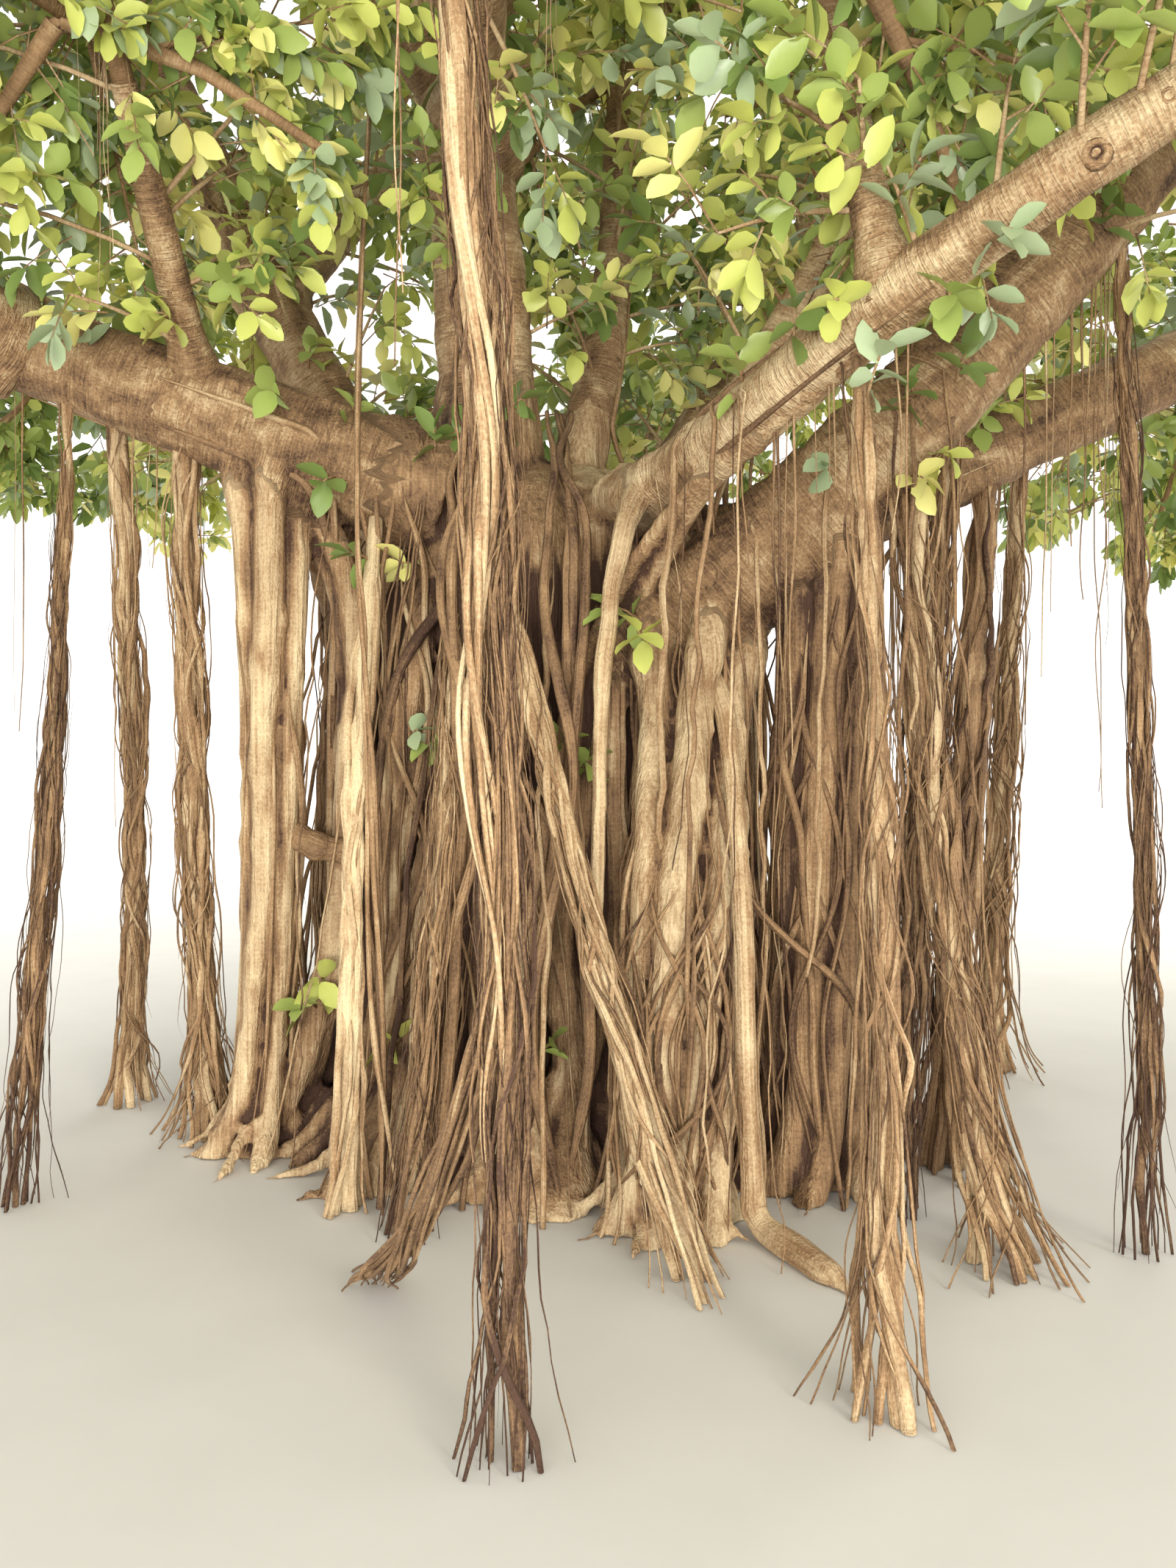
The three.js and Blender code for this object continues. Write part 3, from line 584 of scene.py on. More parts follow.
def twig_line(mass, neck, k, turn, random):
    """The k-th twig of a mass, or None if it finds no room."""
    share = STEM_SHARE[0] + STEM_SHARE[1] * (k + random()) / TWIGS
    root = neck + (mass["centre"] - neck) * share
    reach = TWIG_REACH * (TWIG_VARIES[0] + TWIG_VARIES[1] * random())
    height = 1 - 2 * (k + 0.5) / TWIGS
    angle = k * GOLDEN_ANGLE + turn
    flat = math.sqrt(1 - height * height)
    direction = np.array((flat * math.cos(angle), flat * math.sin(angle), height))
    target = mass["centre"] + direction * mass["half"] * reach
    end = fitted(root, target, lambda tip: room(tip[None], mass))
    if end is None:
        return None
    middle = (root + end) / 2
    middle[2] += TWIG_ARCH * np.linalg.norm(end - root)
    line = np.array([root, middle, end])
    trials = np.array([on_twig(line, at) for at in TWIG_TRIALS])
    return line if clear_of_limbs(trials).all() else None


def blade_samples(blade):
    """Points over a blade, at which it has to find room."""
    samples = []
    for share in BLADE_TRIALS:
        narrow = min(share / BLADE_WIDEST, (1 - share) / (1 - BLADE_WIDEST))
        middle = blade["root"] + blade["way"] * share
        samples += [middle + blade["side"] * hand * narrow for hand in (-1, 0, 1)]
    return np.array(samples)


def blade_on(twig, j, mass, others, random):
    """The j-th blade of a twig, or None if it finds no room."""
    along, across, over = (axes[0, 2] for axes in frames_along(twig[None]))
    last = j == BLADES - 1
    seat = on_twig(twig, BLADE_FIRST + (1 - BLADE_FIRST) * j / (BLADES - 1))
    roll = (2 * j + 1) * math.pi / 3 + BLADE_WAVER * (random() - 0.5)
    opening = 0 if last else BLADE_SPREAD + BLADE_WAVER * (random() - 0.5)
    length = BLADE_LENGTH * (BLADE_VARIES[0] + BLADE_VARIES[1] * random())
    heading = (along * math.cos(opening) + across * math.sin(opening) * math.cos(roll)
               + over * math.sin(opening) * math.sin(roll))
    tilt = np.array((random() - 0.5, random() - 0.5, BLADE_TILT * random()))
    normal = unit(tilt - heading * (tilt @ heading))
    root = seat - heading * (BLADE_SINK if last else 0)
    found = {}

    def check(end):
        way = end - root
        found.update(root=root, way=way, side=np.cross(way, normal) * BLADE_WIDTH / 2,
                     normal=normal, middle=root + way * BLADE_WIDEST)
        apart = all(np.linalg.norm(other["middle"] - found["middle"]) > BLADE_APART
                    for other in others)
        return apart and room(blade_samples(found), mass)

    return None if fitted(root, root + heading * length, check) is None else found


def grow(mass, index):
    """The stem, twigs and blades of a mass, as the solids have them."""
    random = seeded(SEED + index)
    stem = stem_line(mass)
    turn = random() * 2 * math.pi
    twigs = []
    blades = []
    for k in range(TWIGS):
        twig = twig_line(mass, stem[1], k, turn, random)
        if twig is None:
            continue
        twigs.append(twig)
        for j in range(BLADES):
            blade = blade_on(twig, j, mass, blades, random)
            if blade:
                blades.append(blade)
    return stem, twigs, blades


# Materials


def node(tree, kind, inputs=None, **settings):
    """A new node with these settings, whose inputs are linked to sockets or set to values."""
    made = tree.nodes.new(kind)
    for name, value in settings.items():
        setattr(made, name, value)
    for name, value in (inputs or {}).items():
        if isinstance(value, bpy.types.NodeSocket):
            tree.links.new(value, made.inputs[name])
        else:
            made.inputs[name].default_value = value
    return made


def new_material(name):
    """An empty material and its tree of nodes."""
    material = bpy.data.materials.new(name)
    material.use_nodes = True
    material.node_tree.nodes.clear()
    return material, material.node_tree


def finish_material(tree, colour, roughness, relief=None):
    """Gives a material its one shader."""
    inputs = {"Base Color": colour, "Roughness": roughness}
    if relief:
        inputs["Normal"] = relief.outputs[0]
    shader = node(tree, "ShaderNodeBsdfPrincipled", inputs)
    node(tree, "ShaderNodeOutputMaterial", {"Surface": shader.outputs[0]})


def stretched_noise(tree, flow, scale, detail, distortion):
    """Noise along the bark's own coordinates: scale is in cycles per metre each way."""
    stretched = node(tree, "ShaderNodeVectorMath", {0: flow, 1: scale}, operation="MULTIPLY")
    pattern = node(tree, "ShaderNodeTexNoise", {
        "Vector": stretched.outputs[0], "Scale": 1.0, "Detail": detail,
        "Distortion": distortion})
    return pattern.outputs[0]


def weighted(tree, base, parts):
    """base plus each part's distance from a half, times its weight."""
    for part, weight in parts:
        offset = node(tree, "ShaderNodeMath", {0: part, 1: -0.5}, operation="ADD")
        sum_node = node(tree, "ShaderNodeMath", {0: offset.outputs[0], 1: weight, 2: base},
                        operation="MULTIPLY_ADD")
        base = sum_node.outputs[0]
    return base


# The patterns of bark: cycles per metre across, across and along a limb, detail, and how much they
# waver. They are rings across it, fibres along it, blotches and speckles.
BARK_PATTERNS = (((9, 9, 95), 2, 1.2), ((70, 70, 2), 3, 0.5), ((7, 7, 4), 6, 0.6),
                 ((120, 120, 90), 2, 0))
BARK_COLOURS = ((0.06, 0.026, 0.013), (0.325, 0.194, 0.094), (0.7, 0.545, 0.33))
RELIEF_WEIGHT = 3  # of rings and fibres in the relief, beside that in the colour
BLOTCH_RELIEF = 1.5
BARK_DEPTH = 0.012
BARK_ROUGHNESS = 0.8


def wood_material(name, weights, bump):
    """Bark: the tone of each strand, varied by the four patterns with these weights."""
    material, tree = new_material(name)
    flow = node(tree, "ShaderNodeAttribute", attribute_name="flow").outputs["Vector"]
    tone = node(tree, "ShaderNodeAttribute", attribute_name="tone").outputs["Fac"]
    patterns = [stretched_noise(tree, flow, *pattern) for pattern in BARK_PATTERNS]
    ramp = node(tree, "ShaderNodeValToRGB", {"Fac": weighted(tree, tone, zip(patterns, weights))})
    stops = ramp.color_ramp.elements
    stops.new(0.5)
    for stop, colour in zip(stops, BARK_COLOURS):
        stop.color = (*colour, 1)
    ring, fibre, blotch, speckle = patterns
    height = weighted(tree, speckle, [(ring, weights[0] * RELIEF_WEIGHT),
                                      (fibre, weights[1] * RELIEF_WEIGHT),
                                      (blotch, BLOTCH_RELIEF)])
    relief = node(tree, "ShaderNodeBump",
                  {"Height": height, "Strength": bump, "Distance": BARK_DEPTH})
    finish_material(tree, ramp.outputs[0], BARK_ROUGHNESS, relief)
    return material


# Leaf tints, dealt by spray. Green is the leaves' own colour; deep is painted shade; bluish is
# painted shade with a painted bluish sheen; the fresh tint is a lighter green with painted
# backlight; the yellowest tint is painted backlight shining through the leaves.
LEAF_TINTS = {
    "deep": (0.175, 0.25, 0.065),
    "green": (0.32, 0.4, 0.105),
    "bluish": (0.37, 0.46, 0.27),
    "fresh_backlit": (0.54, 0.58, 0.15),
    "backlit_yellow": (0.78, 0.75, 0.27),
}
LEAF_SHARES = (0.15, 0.32, 0.1, 0.27, 0.16)  # of the sprays, by tint
LEAF_GRAIN = 60.0
LEAF_BUMP = 0.25
LEAF_DEPTH = 0.003
LEAF_ROUGHNESS = 0.36


def leaf_material(name, colour):
    material, tree = new_material(name)
    place = node(tree, "ShaderNodeTexCoord").outputs["Object"]
    pattern = node(tree, "ShaderNodeTexNoise",
                   {"Vector": place, "Scale": LEAF_GRAIN, "Detail": 2.0})
    relief = node(tree, "ShaderNodeBump", {"Height": pattern.outputs[0], "Strength": LEAF_BUMP,
                                           "Distance": LEAF_DEPTH})
    finish_material(tree, (*colour, 1), LEAF_ROUGHNESS, relief)
    return material


bark = wood_material("bark", (0.75, 0.05, 1.7, 0.7), 0.7)
root_bark = wood_material("root_bark", (0.2, 0.75, 1.1, 0.5), 0.6)
twig_bark = wood_material("twig_bark", (0.5, 0.1, 1.0, 0.3), 0.3)
leaf_materials = [leaf_material("leaf_" + name, tint) for name, tint in LEAF_TINTS.items()]


# The trunk's skin, the boughs and the roots

TRUNK_STRANDS = 56
STRAND_RADII = (0.03, 0.042, 0.055, 0.075, 0.1)
STRAND_SHARES = (0.2, 0.28, 0.26, 0.18, 0.08)  # of the strands, by radius
STRAND_TONE = 0.36
STRAND_UNEVEN = 0.35  # how far strands stand from even spacing
STRAND_TWIST = 0.4  # radians that strands turn about the trunk over its height
STRAND_WANDER = 0.17  # radians
STRAND_DEPTHS = (-0.2, 0.7)  # shares of a strand's radius that it stands back from the skin
STRAND_TAPER = 0.35
STRAND_SWELL = 0.2
FOOT_SWELL = 0.5
FOOT_HEIGHT = 0.15
STRAND_FORKS = (0.5, 1.7)  # heights above which a forked strand is one
FORKED_SHARE = 0.5
FORK_LEAN = 0.16
FORK_PARTS = (1, -1.2)  # how far its branches lean each way
RECESS = 0.11  # how far groups of strands stand back from the trunk's skin
RECESS_CYCLES = 2.2
RECESS_GAIN = 1.6
CORE_HEIGHTS = (0, 0.15, 0.4, 0.8, 1.3, 1.9, 2.3, 2.55, 2.75, 2.88, 2.95)
CORE_SHARES = (0.84, 0.84, 0.84, 0.84, 0.84, 0.84, 0.84, 0.84, 0.8, 0.6, 0.3)
BOUGH_TURN = 2.15  # the trunk's strands leave its skin here, and go on along a bough
INNER_BOUGHS = ("leader", "upright", "inner_back")  # those that leave the trunk's middle
WIDEST_TURN = 0.5  # radians: a strand with no other bough as near goes up the leader
OUTER_SHARE = 0.3  # of a bough, where it is well out of the trunk
CLOSE_OUT = 0.4  # metres from a bough's start, where roots begin to run along it
FAR_OUT = (0.8, 1.5)
FACING_RISE = (-0.5, 0.1)
IN_BARK = 0.8  # of a bough's radius

TRUNK_VOXEL = 0.0165
TRUNK_SMOOTHING = 3
TRUNK_FACES = 0.45  # share of the fused skin's faces that is kept
# Painted shade where the skin lies back inside the trunk, full at HOLLOW_DEPTH in
HOLLOW_SHADE = 0.85
HOLLOW_DEPTH = 0.12
# Painted shade in the skin's creases, and painted light on its broad ridges
CREASE_DEPTH = 0.012
CREASE_SHADE = 0.6
TONE_SPREAD = 5

BARK_COVER = 0.75  # how far a bough's own tone prevails over that of the strands on it
FUSED_REACH = {"left": 1.3, "right_main": 1.85, "back": 1.3}  # metres, by bough
PLAIN_REACH = 0.8
FUSED_RADII = ((0, 0.75, 1), (1.05, 1.05, 0.85))  # of the bough's own, along that reach
HIDDEN_RADII = ((0, 0.7, 0.9), (0.82, 0.82, 1))  # of the bough's skin, which the fused one covers
BARK_TONES = {"right_front": 0.67, "left": 0.36, "right_main": 0.46, "leader": 0.54,
              "right_back": 0.4, "left_back": 0.46, "upright": 0.62}
PLAIN_TONE = 0.52
STEP = 0.035  # metres from one ring of a limb's skin to the next


def fused_reach(bough):
    """How many metres of a bough the trunk's skin takes in."""
    return FUSED_REACH.get(bough["name"], PLAIN_REACH)


def bark_tone(bough):
    return BARK_TONES.get(bough["name"], PLAIN_TONE)


def fused(shape):
    """Points, normals and faces of one skin round all of a shape's tubes."""
    source = placed("raw", shape.mesh("raw"))
    skin = source.modifiers.new("skin", "REMESH")
    skin.mode = "VOXEL"
    skin.voxel_size = TRUNK_VOXEL
    smooth = source.modifiers.new("smooth", "SMOOTH")
    smooth.factor = 0.5
    smooth.iterations = TRUNK_SMOOTHING
    fewer = source.modifiers.new("fewer", "DECIMATE")
    fewer.ratio = TRUNK_FACES
    dressed = source.evaluated_get(bpy.context.evaluated_depsgraph_get())
    mesh = bpy.data.meshes.new_from_object(dressed)
    mesh.calc_loop_triangles()
    points = np.empty(len(mesh.vertices) * 3)
    mesh.vertices.foreach_get("co", points)
    normals = np.empty(len(mesh.vertices) * 3)
    mesh.vertex_normals.foreach_get("vector", normals)
    faces = np.empty(len(mesh.loop_triangles) * 3, np.int32)
    mesh.loop_triangles.foreach_get("vertices", faces)
    bpy.data.objects.remove(source)
    return points.reshape(-1, 3), normals.reshape(-1, 3), faces.reshape(-1, 3)


def nearest_tones(points, lines, tones):
    """The tone of the strand that is nearest to each point."""
    tree = KDTree(sum(len(line) for line in lines))
    for index, line in enumerate(lines):
        for point in line:
            tree.insert(point, index)
    tree.balance()
    return np.array([tones[tree.find(point)[1]] for point in points])


def spread(values, faces, passes):
    """Values at the vertices, each mixed with its neighbours' a number of times."""
    ends = np.concatenate([faces[:, (0, 1)], faces[:, (1, 2)], faces[:, (2, 0)]])
    neighbours = np.maximum(np.bincount(ends[:, 0], minlength=len(values)), 1)[:, None]
    for _ in range(passes):
        values = np.stack([
            np.bincount(ends[:, 0], column[ends[:, 1]], len(values)) for column in values.T
        ], 1) / neighbours
    return values


def creases(points, normals, faces):
    """How far each vertex lies in a hollow: above 0 in creases, narrow and wide, and below 0 on
    broad ridges."""
    narrow = dot(normals, spread(points, faces, 3) - points)[:, 0] / CREASE_DEPTH
    wide = dot(normals, spread(points, faces, 14) - points)[:, 0] / (3 * CREASE_DEPTH)
    return np.clip(narrow + 0.15, 0, 1) + np.clip(wide, -0.3, 0.8)


# Patterns on the fused skin: cycles per metre each way, size and seed
RIDGES = ((30, 30, 2.2), 0.007, 21)
LUMPS = ((9, 9, 5), 0.007, 22)
KNOBS = ((16, 16, 11), 0.035, 23)
KNOB_LEVEL = 0.45  # knobs are where the noise is above this
STREAKS = ((2.2, 2.2, 0.8), 0.12, 24)


def patterned(points, pattern, level=None):
    """A pattern's value at each point, or what is above a level of its noise."""
    cycles, size, seed = pattern
    value = noise(points * cycles, seed)
    return (value if level is None else np.maximum(value - level, 0)) * size


def fused_skin(shape, lines, tones):
    """Fuses the tubes of a shape, and gives the skin its long ridges and lumps."""
    points, normals, faces = fused(shape)
    hollow = creases(points, normals, faces)
    rise = patterned(points, RIDGES) + patterned(points, LUMPS)
    rise = rise + patterned(points, KNOBS, KNOB_LEVEL)
    points = points + normals * rise[:, None]
    points[:, 2] = np.maximum(points[:, 2], 0)
    skin = Shape()
    tones = spread(nearest_tones(points, lines, tones)[:, None], faces, TONE_SPREAD)[:, 0]
    # Painted shade in the creases, and painted light on broad ridges, where creases() is below 0
    tones -= CREASE_SHADE * hollow
    tones += patterned(points, STREAKS)
    skin.add(points, [faces], tones)
    return skin


# Patterns of relief, as shares of the radius: rings, long swellings and lumps of a bough's bark,
# and swellings and small lumps of an aerial root
BOUGH_RELIEF = (((5, 5, 26), 0.04, 3), ((6, 6, 1.5), 0.08, 4), ((14, 14, 9), 0.06, 5))
STRAND_RELIEF = (((20, 20, 6), 0.16, 6), ((60, 60, 24), 0.1, 7))


def bark_relief(flows, radii):
    return radii * sum(patterned(flows, pattern) for pattern in BOUGH_RELIEF)


def strand_relief(flows, radii):
    return radii * sum(patterned(flows, pattern) for pattern in STRAND_RELIEF)


JOINT_SWELL = 0.5  # how much a bough widens where it leaves another bough's bark
JOINT_REACH = 0.09
THICK = 0.14  # radius over which a bough has more sides
THICK_SIDES = 28
THIN_SIDES = 18


def bough_skin(bough):
    """A bough's bark, from inside what it leaves to its tip."""
    shape = Shape()
    length = bough_length(bough)
    shares = np.linspace(0, 1, int(length / STEP) + 2)
    line = bough_points(bough, shares)[None]
    radii = bough_radii(bough, shares)[None]
    if "parent" in bough:
        parent = boughs[bough["parent"]]
        inside = bough_radii(parent, bough["at"])
        past = np.maximum(shares * length - inside, 0)
        radii = radii * (1 + JOINT_SWELL * np.exp(-past / JOINT_REACH))
    else:
        radii = radii * np.interp(shares * length / fused_reach(bough), *HIDDEN_RADII)
    sides = THICK_SIDES if bough["radii"][0] > THICK else THIN_SIDES
    add_tubes(shape, line, radii, sides, bark_tone(bough), bark_relief)
    return shape


# A knot, from its rim on the bark to its dark middle: shares of its size out from its middle and
# off the bark, and tones. Each bough has a few.
KNOT_WIDTHS = (1.25, 1.0, 0.8, 0.6, 0.4, 0.15)
KNOT_HEIGHTS = (-0.3, 0.12, 0.24, 0.2, 0.02, -0.1)
KNOT_TONES = (0.45, 0.5, 0.6, 0.45, 0.05, 0.0)
KNOT_SIDES = 14
KNOTS = 5
KNOT_SIZES = (0.014, 0.03)
KNOT_SINK = 0.004
KNOT_PIXEL = (1492, 208)  # where the photograph shows the largest one
LARGEST_KNOT = 0.034
AHEAD = 0.02  # share of a bough between two points that give its direction


def knot(shape, seat, normal, size):
    """The scar of a lost twig."""
    side = unit(np.cross(normal, KNOT_SIDE))
    over = np.cross(normal, side)
    angles = np.arange(KNOT_SIDES) * 2 * math.pi / KNOT_SIDES
    ring = side * np.cos(angles)[:, None] + over * np.sin(angles)[:, None]
    points = [seat + size * (ring * wide + normal * high)
              for wide, high in zip(KNOT_WIDTHS, KNOT_HEIGHTS)]
    tones = np.repeat(KNOT_TONES, KNOT_SIDES)
    shape.add(np.concatenate(points), tube_faces(1, len(KNOT_WIDTHS), KNOT_SIDES), tones)


def add_knots(shape, bough, random):
    """Knots on a bough, on any side of it."""
    for share in random.uniform(0.15, 0.85, KNOTS):
        middle = bough_points(bough, share)
        axis = unit(bough_points(bough, share + AHEAD) - middle)
        normal = random.normal(0, 1, 3)
        normal = unit(normal - axis * dot(normal, axis))
        size = random.uniform(*KNOT_SIZES)
        knot(shape, middle + normal * (bough_radii(bough, share) - KNOT_SINK), normal, size)


def smoothed(line, taps):
    """A line with each point at the mean of its neighbours, and its ends kept."""
    padded = np.pad(line, ((taps, taps), (0, 0)), mode="edge")
    mean = sum(padded[i:i + len(line)] for i in range(2 * taps + 1)) / (2 * taps + 1)
    mean[0] = line[0]
    mean[-1] = line[-1]
    return mean


def depth_in_trunk(points):
    """How far points lie inside the trunk's skin, in metres, without its flutes."""
    flat = (points[:, :2] - TRUNK["centre"]) / TRUNK["half"]
    flare = TRUNK["flare"] * np.exp(-points[:, 2] / TRUNK["flare_height"])
    depth = (1 + flare - np.linalg.norm(flat, axis=1)) * sum(TRUNK["half"]) / 2
    return np.where(points[:, 2] < TRUNK["shoulder"], depth, 0)


# A bough's bark on the fused skin. It reaches COVER_REACH radii from the middle line, and fades
# over the last COVER_FADE of them. It begins COVER_START metres out from the bough's start, and is
# full COVER_RISE further out. Its rings have RING_CYCLES more cycles per metre along the bough.
COVER_REACH = 1.6
COVER_FADE = 0.45
COVER_START = 0.15
COVER_RISE = 0.3
COVER_SHADE = 0.05
RING_CYCLES = 22
COVER_CYCLES = 6
COVER_RINGS = 0.05
COVER_LUMPS = (13, 0.06, 52)
COVER_EDGE = (9, 0.25, 53)
COVER_STEPS = 14
EDGE = 0.5


def add_bough_bark(skin, bough):
    """Gives the fused skin a bough's bark where it covers one: tone, rings and direction.

    Returns a number for each point, over EDGE for those that show that bark."""
    points = skin.points[0]
    shares = np.linspace(0.1, 1, COVER_STEPS) * (fused_reach(bough) / bough_length(bough))
    line = bough_points(bough, shares)
    wide = bough_radii(bough, shares)
    axis = unit(line[-1] - line[0])
    gaps = np.array([np.linalg.norm(points - middle, axis=1) for middle in line])
    nearest = np.argmin(gaps / wide[:, None], axis=0)
    close = gaps[nearest, np.arange(len(points))] / wide[nearest]
    share = np.clip((COVER_REACH - close) / COVER_FADE, 0, 1)
    out = np.linalg.norm(points[:, :2] - bough["from"][:2], axis=1)
    share *= np.clip((out - COVER_START) / COVER_RISE, 0, 1)
    along = (points - bough["from"]) @ axis
    off = points - line[nearest]
    outward = unit(off - axis * dot(off, axis))
    rings = noise(points * COVER_CYCLES + axis * (along * RING_CYCLES)[:, None], 51) * COVER_RINGS
    rise = wide[nearest] * (rings + patterned(points, COVER_LUMPS)) * share
    skin.points[0] = points + outward * rise[:, None]
    side = unit(np.cross(axis, BARK_SIDE))
    turned = np.stack([off @ side, off @ np.cross(axis, side), along], 1)
    edge = share + patterned(points, COVER_EDGE)
    skin.flows[0] = np.where(edge[:, None] > EDGE, turned, skin.flows[0])
    tone = bark_tone(bough) - COVER_SHADE
    skin.tones[0] = skin.tones[0] + BARK_COVER * share * (tone - skin.tones[0])
    return edge


def bearing(points):
    """The direction of points round the trunk's middle, in radians."""
    return np.arctan2(points[..., 1] - TRUNK["centre"][1], points[..., 0] - TRUNK["centre"][0])


def along_bough(bough, beside, random):
    """A stretch of a bough's surface on the side that faces a point, out from the trunk."""
    out = np.linspace(CLOSE_OUT, random.uniform(*FAR_OUT), 16) / bough_length(bough)
    middle = bough_points(bough, out)
    axis = unit(np.gradient(middle, axis=0))
    facing = beside - middle - axis * dot(beside - middle, axis)
    facing = unit(facing + np.array((0, 0, random.uniform(*FACING_RISE))))
    return middle + facing * bough_radii(bough, out)[:, None] * IN_BARK


@gathered
def trunk_strands(random):
    """Lines and radii of the fused roots that the trunk is made of."""
    heights = np.linspace(0, BOUGH_TURN, 46)
    stretch = np.linspace(0, 1, 64)
    middle = np.column_stack([np.broadcast_to(TRUNK["centre"], (len(heights), 2)), heights])
    leaving = [bough for bough in trunk_boughs if bough["name"] not in INNER_BOUGHS]
    ways = np.array([bearing(bough_points(bough, OUTER_SHARE)) for bough in leaving])
    for i in range(TRUNK_STRANDS):
        start = 2 * math.pi * (i + STRAND_UNEVEN * random.uniform(-1, 1)) / TRUNK_STRANDS
        thick = random.choice(STRAND_RADII, p=STRAND_SHARES)
        wander = STRAND_WANDER * waver(heights * 1.1, i * 3.7, 11)
        fork = random.uniform(*STRAND_FORKS)
        place = np.array([[RECESS_CYCLES * math.cos(start), RECESS_CYCLES * math.sin(start), 5]])
        recess = RECESS * max(0.0, float(noise(place, 31)[0]) * RECESS_GAIN)
        lean = random.uniform(-FORK_LEAN, FORK_LEAN)
        turned = start + STRAND_TWIST * BOUGH_TURN / TRUNK["top"]
        apart = np.abs(np.angle(np.exp(1j * (ways - turned)))) + random.uniform(0, 0.2, len(ways))
        bough = leaving[int(np.argmin(apart))] if apart.min() < WIDEST_TURN else boughs["leader"]
        for branch in range(2 if random.random() < FORKED_SHARE else 1):
            below = np.clip((fork - heights) / fork, 0, 1)
            twist = STRAND_TWIST * heights / TRUNK["top"]
            angle = start + twist + wander + lean * below * FORK_PARTS[branch]
            skin = trunk_point(angle, heights)
            depth = thick * random.uniform(*STRAND_DEPTHS) + recess
            foot = skin - unit(skin - middle) * depth
            line = np.concatenate([foot, along_bough(bough, foot[-1], random)])
            line = smoothed(smoothed(line, 4), 3)
            line = resampled(line, np.linspace(0, 1, len(line)), stretch)
            foot_swell = 1 + FOOT_SWELL * np.exp(-line[:, 2] / FOOT_HEIGHT)
            radius = thick * foot_swell * (1 - STRAND_TAPER * stretch**3)
            yield line, radius * (1 + STRAND_SWELL * waver(stretch * 7, i, 12))


# Toes of the trunk and of the columns: how many, how far out they start and end in shares of the
# foot's half width, how high they start and how thick they are
TRUNK_TOES = dict(count=30, start=1.05, ends=(1.38, 1.6), height=0.24, thick=(0.03, 0.06))
COLUMN_TOES = dict(count=7, start=0.5, ends=(1.15, 1.7), height=0.15, thick=(0.022, 0.036))
TOE_TONE = 0.32
TOE_TURN = 0.12
TOE_FALL = 2.4
TOE_TAPER = 0.7


@gathered
def toes(middle, half, kind, random):
    """Lines and radii of short roots that run out over the ground from a foot."""
    shares = np.linspace(0, 1, 14)
    for k in range(kind["count"]):
        angle = 2 * math.pi * (k + random.uniform(-0.4, 0.4)) / kind["count"]
        turn = angle + random.normal(0, TOE_TURN) * shares
        out = kind["start"] + (random.uniform(*kind["ends"]) - kind["start"]) * shares
        height = kind["height"] * random.uniform(0.7, 1.3) * (1 - shares) ** TOE_FALL
        line = np.stack([middle[0] + half[0] * out * np.cos(turn),
                         middle[1] + half[1] * out * np.sin(turn), height], 1)
        yield line, random.uniform(*kind["thick"]) * (1 - TOE_TAPER * shares)


def trunk_skin(random):
    """The trunk, as one skin with the columns beside it and the first stretch of each bough."""
    shape = Shape()
    everything = []
    tones = []
    angles = np.linspace(0, 2 * math.pi, 90, endpoint=False)
    core = trunk_point(angles[None, :], np.array(CORE_HEIGHTS)[:, None])
    shares = np.array(CORE_SHARES)[:, None, None]
    core[..., :2] = (core[..., :2] - TRUNK["centre"]) * shares + TRUNK["centre"]
    shape.add(core.reshape(-1, 3), tube_faces(1, len(CORE_HEIGHTS), len(angles)))
    lines, radii = trunk_strands(random)
    add_tubes(shape, lines, radii, 12)
    everything += list(lines)
    tones += list(dealt(random, STRAND_TONE, 0.18, len(lines), 0.08, 0.9))
    lines, radii = toes(TRUNK["centre"], TRUNK["half"], TRUNK_TOES, random)
    add_tubes(shape, lines, radii, 10)
    everything += list(lines)
    tones += list(dealt(random, TOE_TONE, 0.12, len(lines)))
    for bough in trunk_boughs:
        reach = fused_reach(bough) / bough_length(bough)
        shares = np.linspace(0, reach, 36)
        line = bough_points(bough, shares)
        wide = bough_radii(bough, shares) * np.interp(shares / reach, *FUSED_RADII)
        add_tubes(shape, line[None], wide[None], 24)
        everything.append(line)
        tones.append(bark_tone(bough))
    for root in ROOTS:
        if root["kind"] == "column":
            line, wide, lines, radii = root_strands(root, random)
            add_tubes(shape, lines, radii, 14)
            add_tubes(shape, line[None], wide[None] * COLUMN_CORE, 16)
            toe_lines, toe_radii = toes(root["foot"], (wide[0], wide[0]), COLUMN_TOES, random)
            add_tubes(shape, toe_lines, toe_radii, 8)
            strands = list(lines) + list(toe_lines)
            everything += strands
            tones += list(dealt(random, root["tone"], ROOT_TONES, len(strands)))
    skin = fused_skin(shape, everything, tones)
    # Painted shade in the recesses, darkest where the skin lies deepest inside the trunk
    hollow = np.clip(depth_in_trunk(skin.points[0]) / HOLLOW_DEPTH, 0, 1)
    skin.tones[0] = skin.tones[0] - HOLLOW_SHADE * hollow
    shown = 0
    for bough in trunk_boughs:
        shown = np.maximum(shown, add_bough_bark(skin, bough))
    skin.finishes[0] = shown[skin.faces[0]].mean(axis=1) > EDGE
    return skin


ROOT_TONES = 0.1  # how far the tones of a root's strands vary
COLUMN_CORE = 0.5  # of a column's half width
STRAND_FILL = 1.08  # radius of a strand beside one that touches its neighbours
STRAND_SIZES = (0.85, 1.2)
STRAND_FLARE = 0.2  # share of its root's flare by which a strand widens
FREE_COVER = 0.1  # metres of a root that hide in the trunk where it has no bough
LEAVING_REACH = 0.07
LEAVING_SWELL = 0.3
LEAVING_SPREAD = 0.5


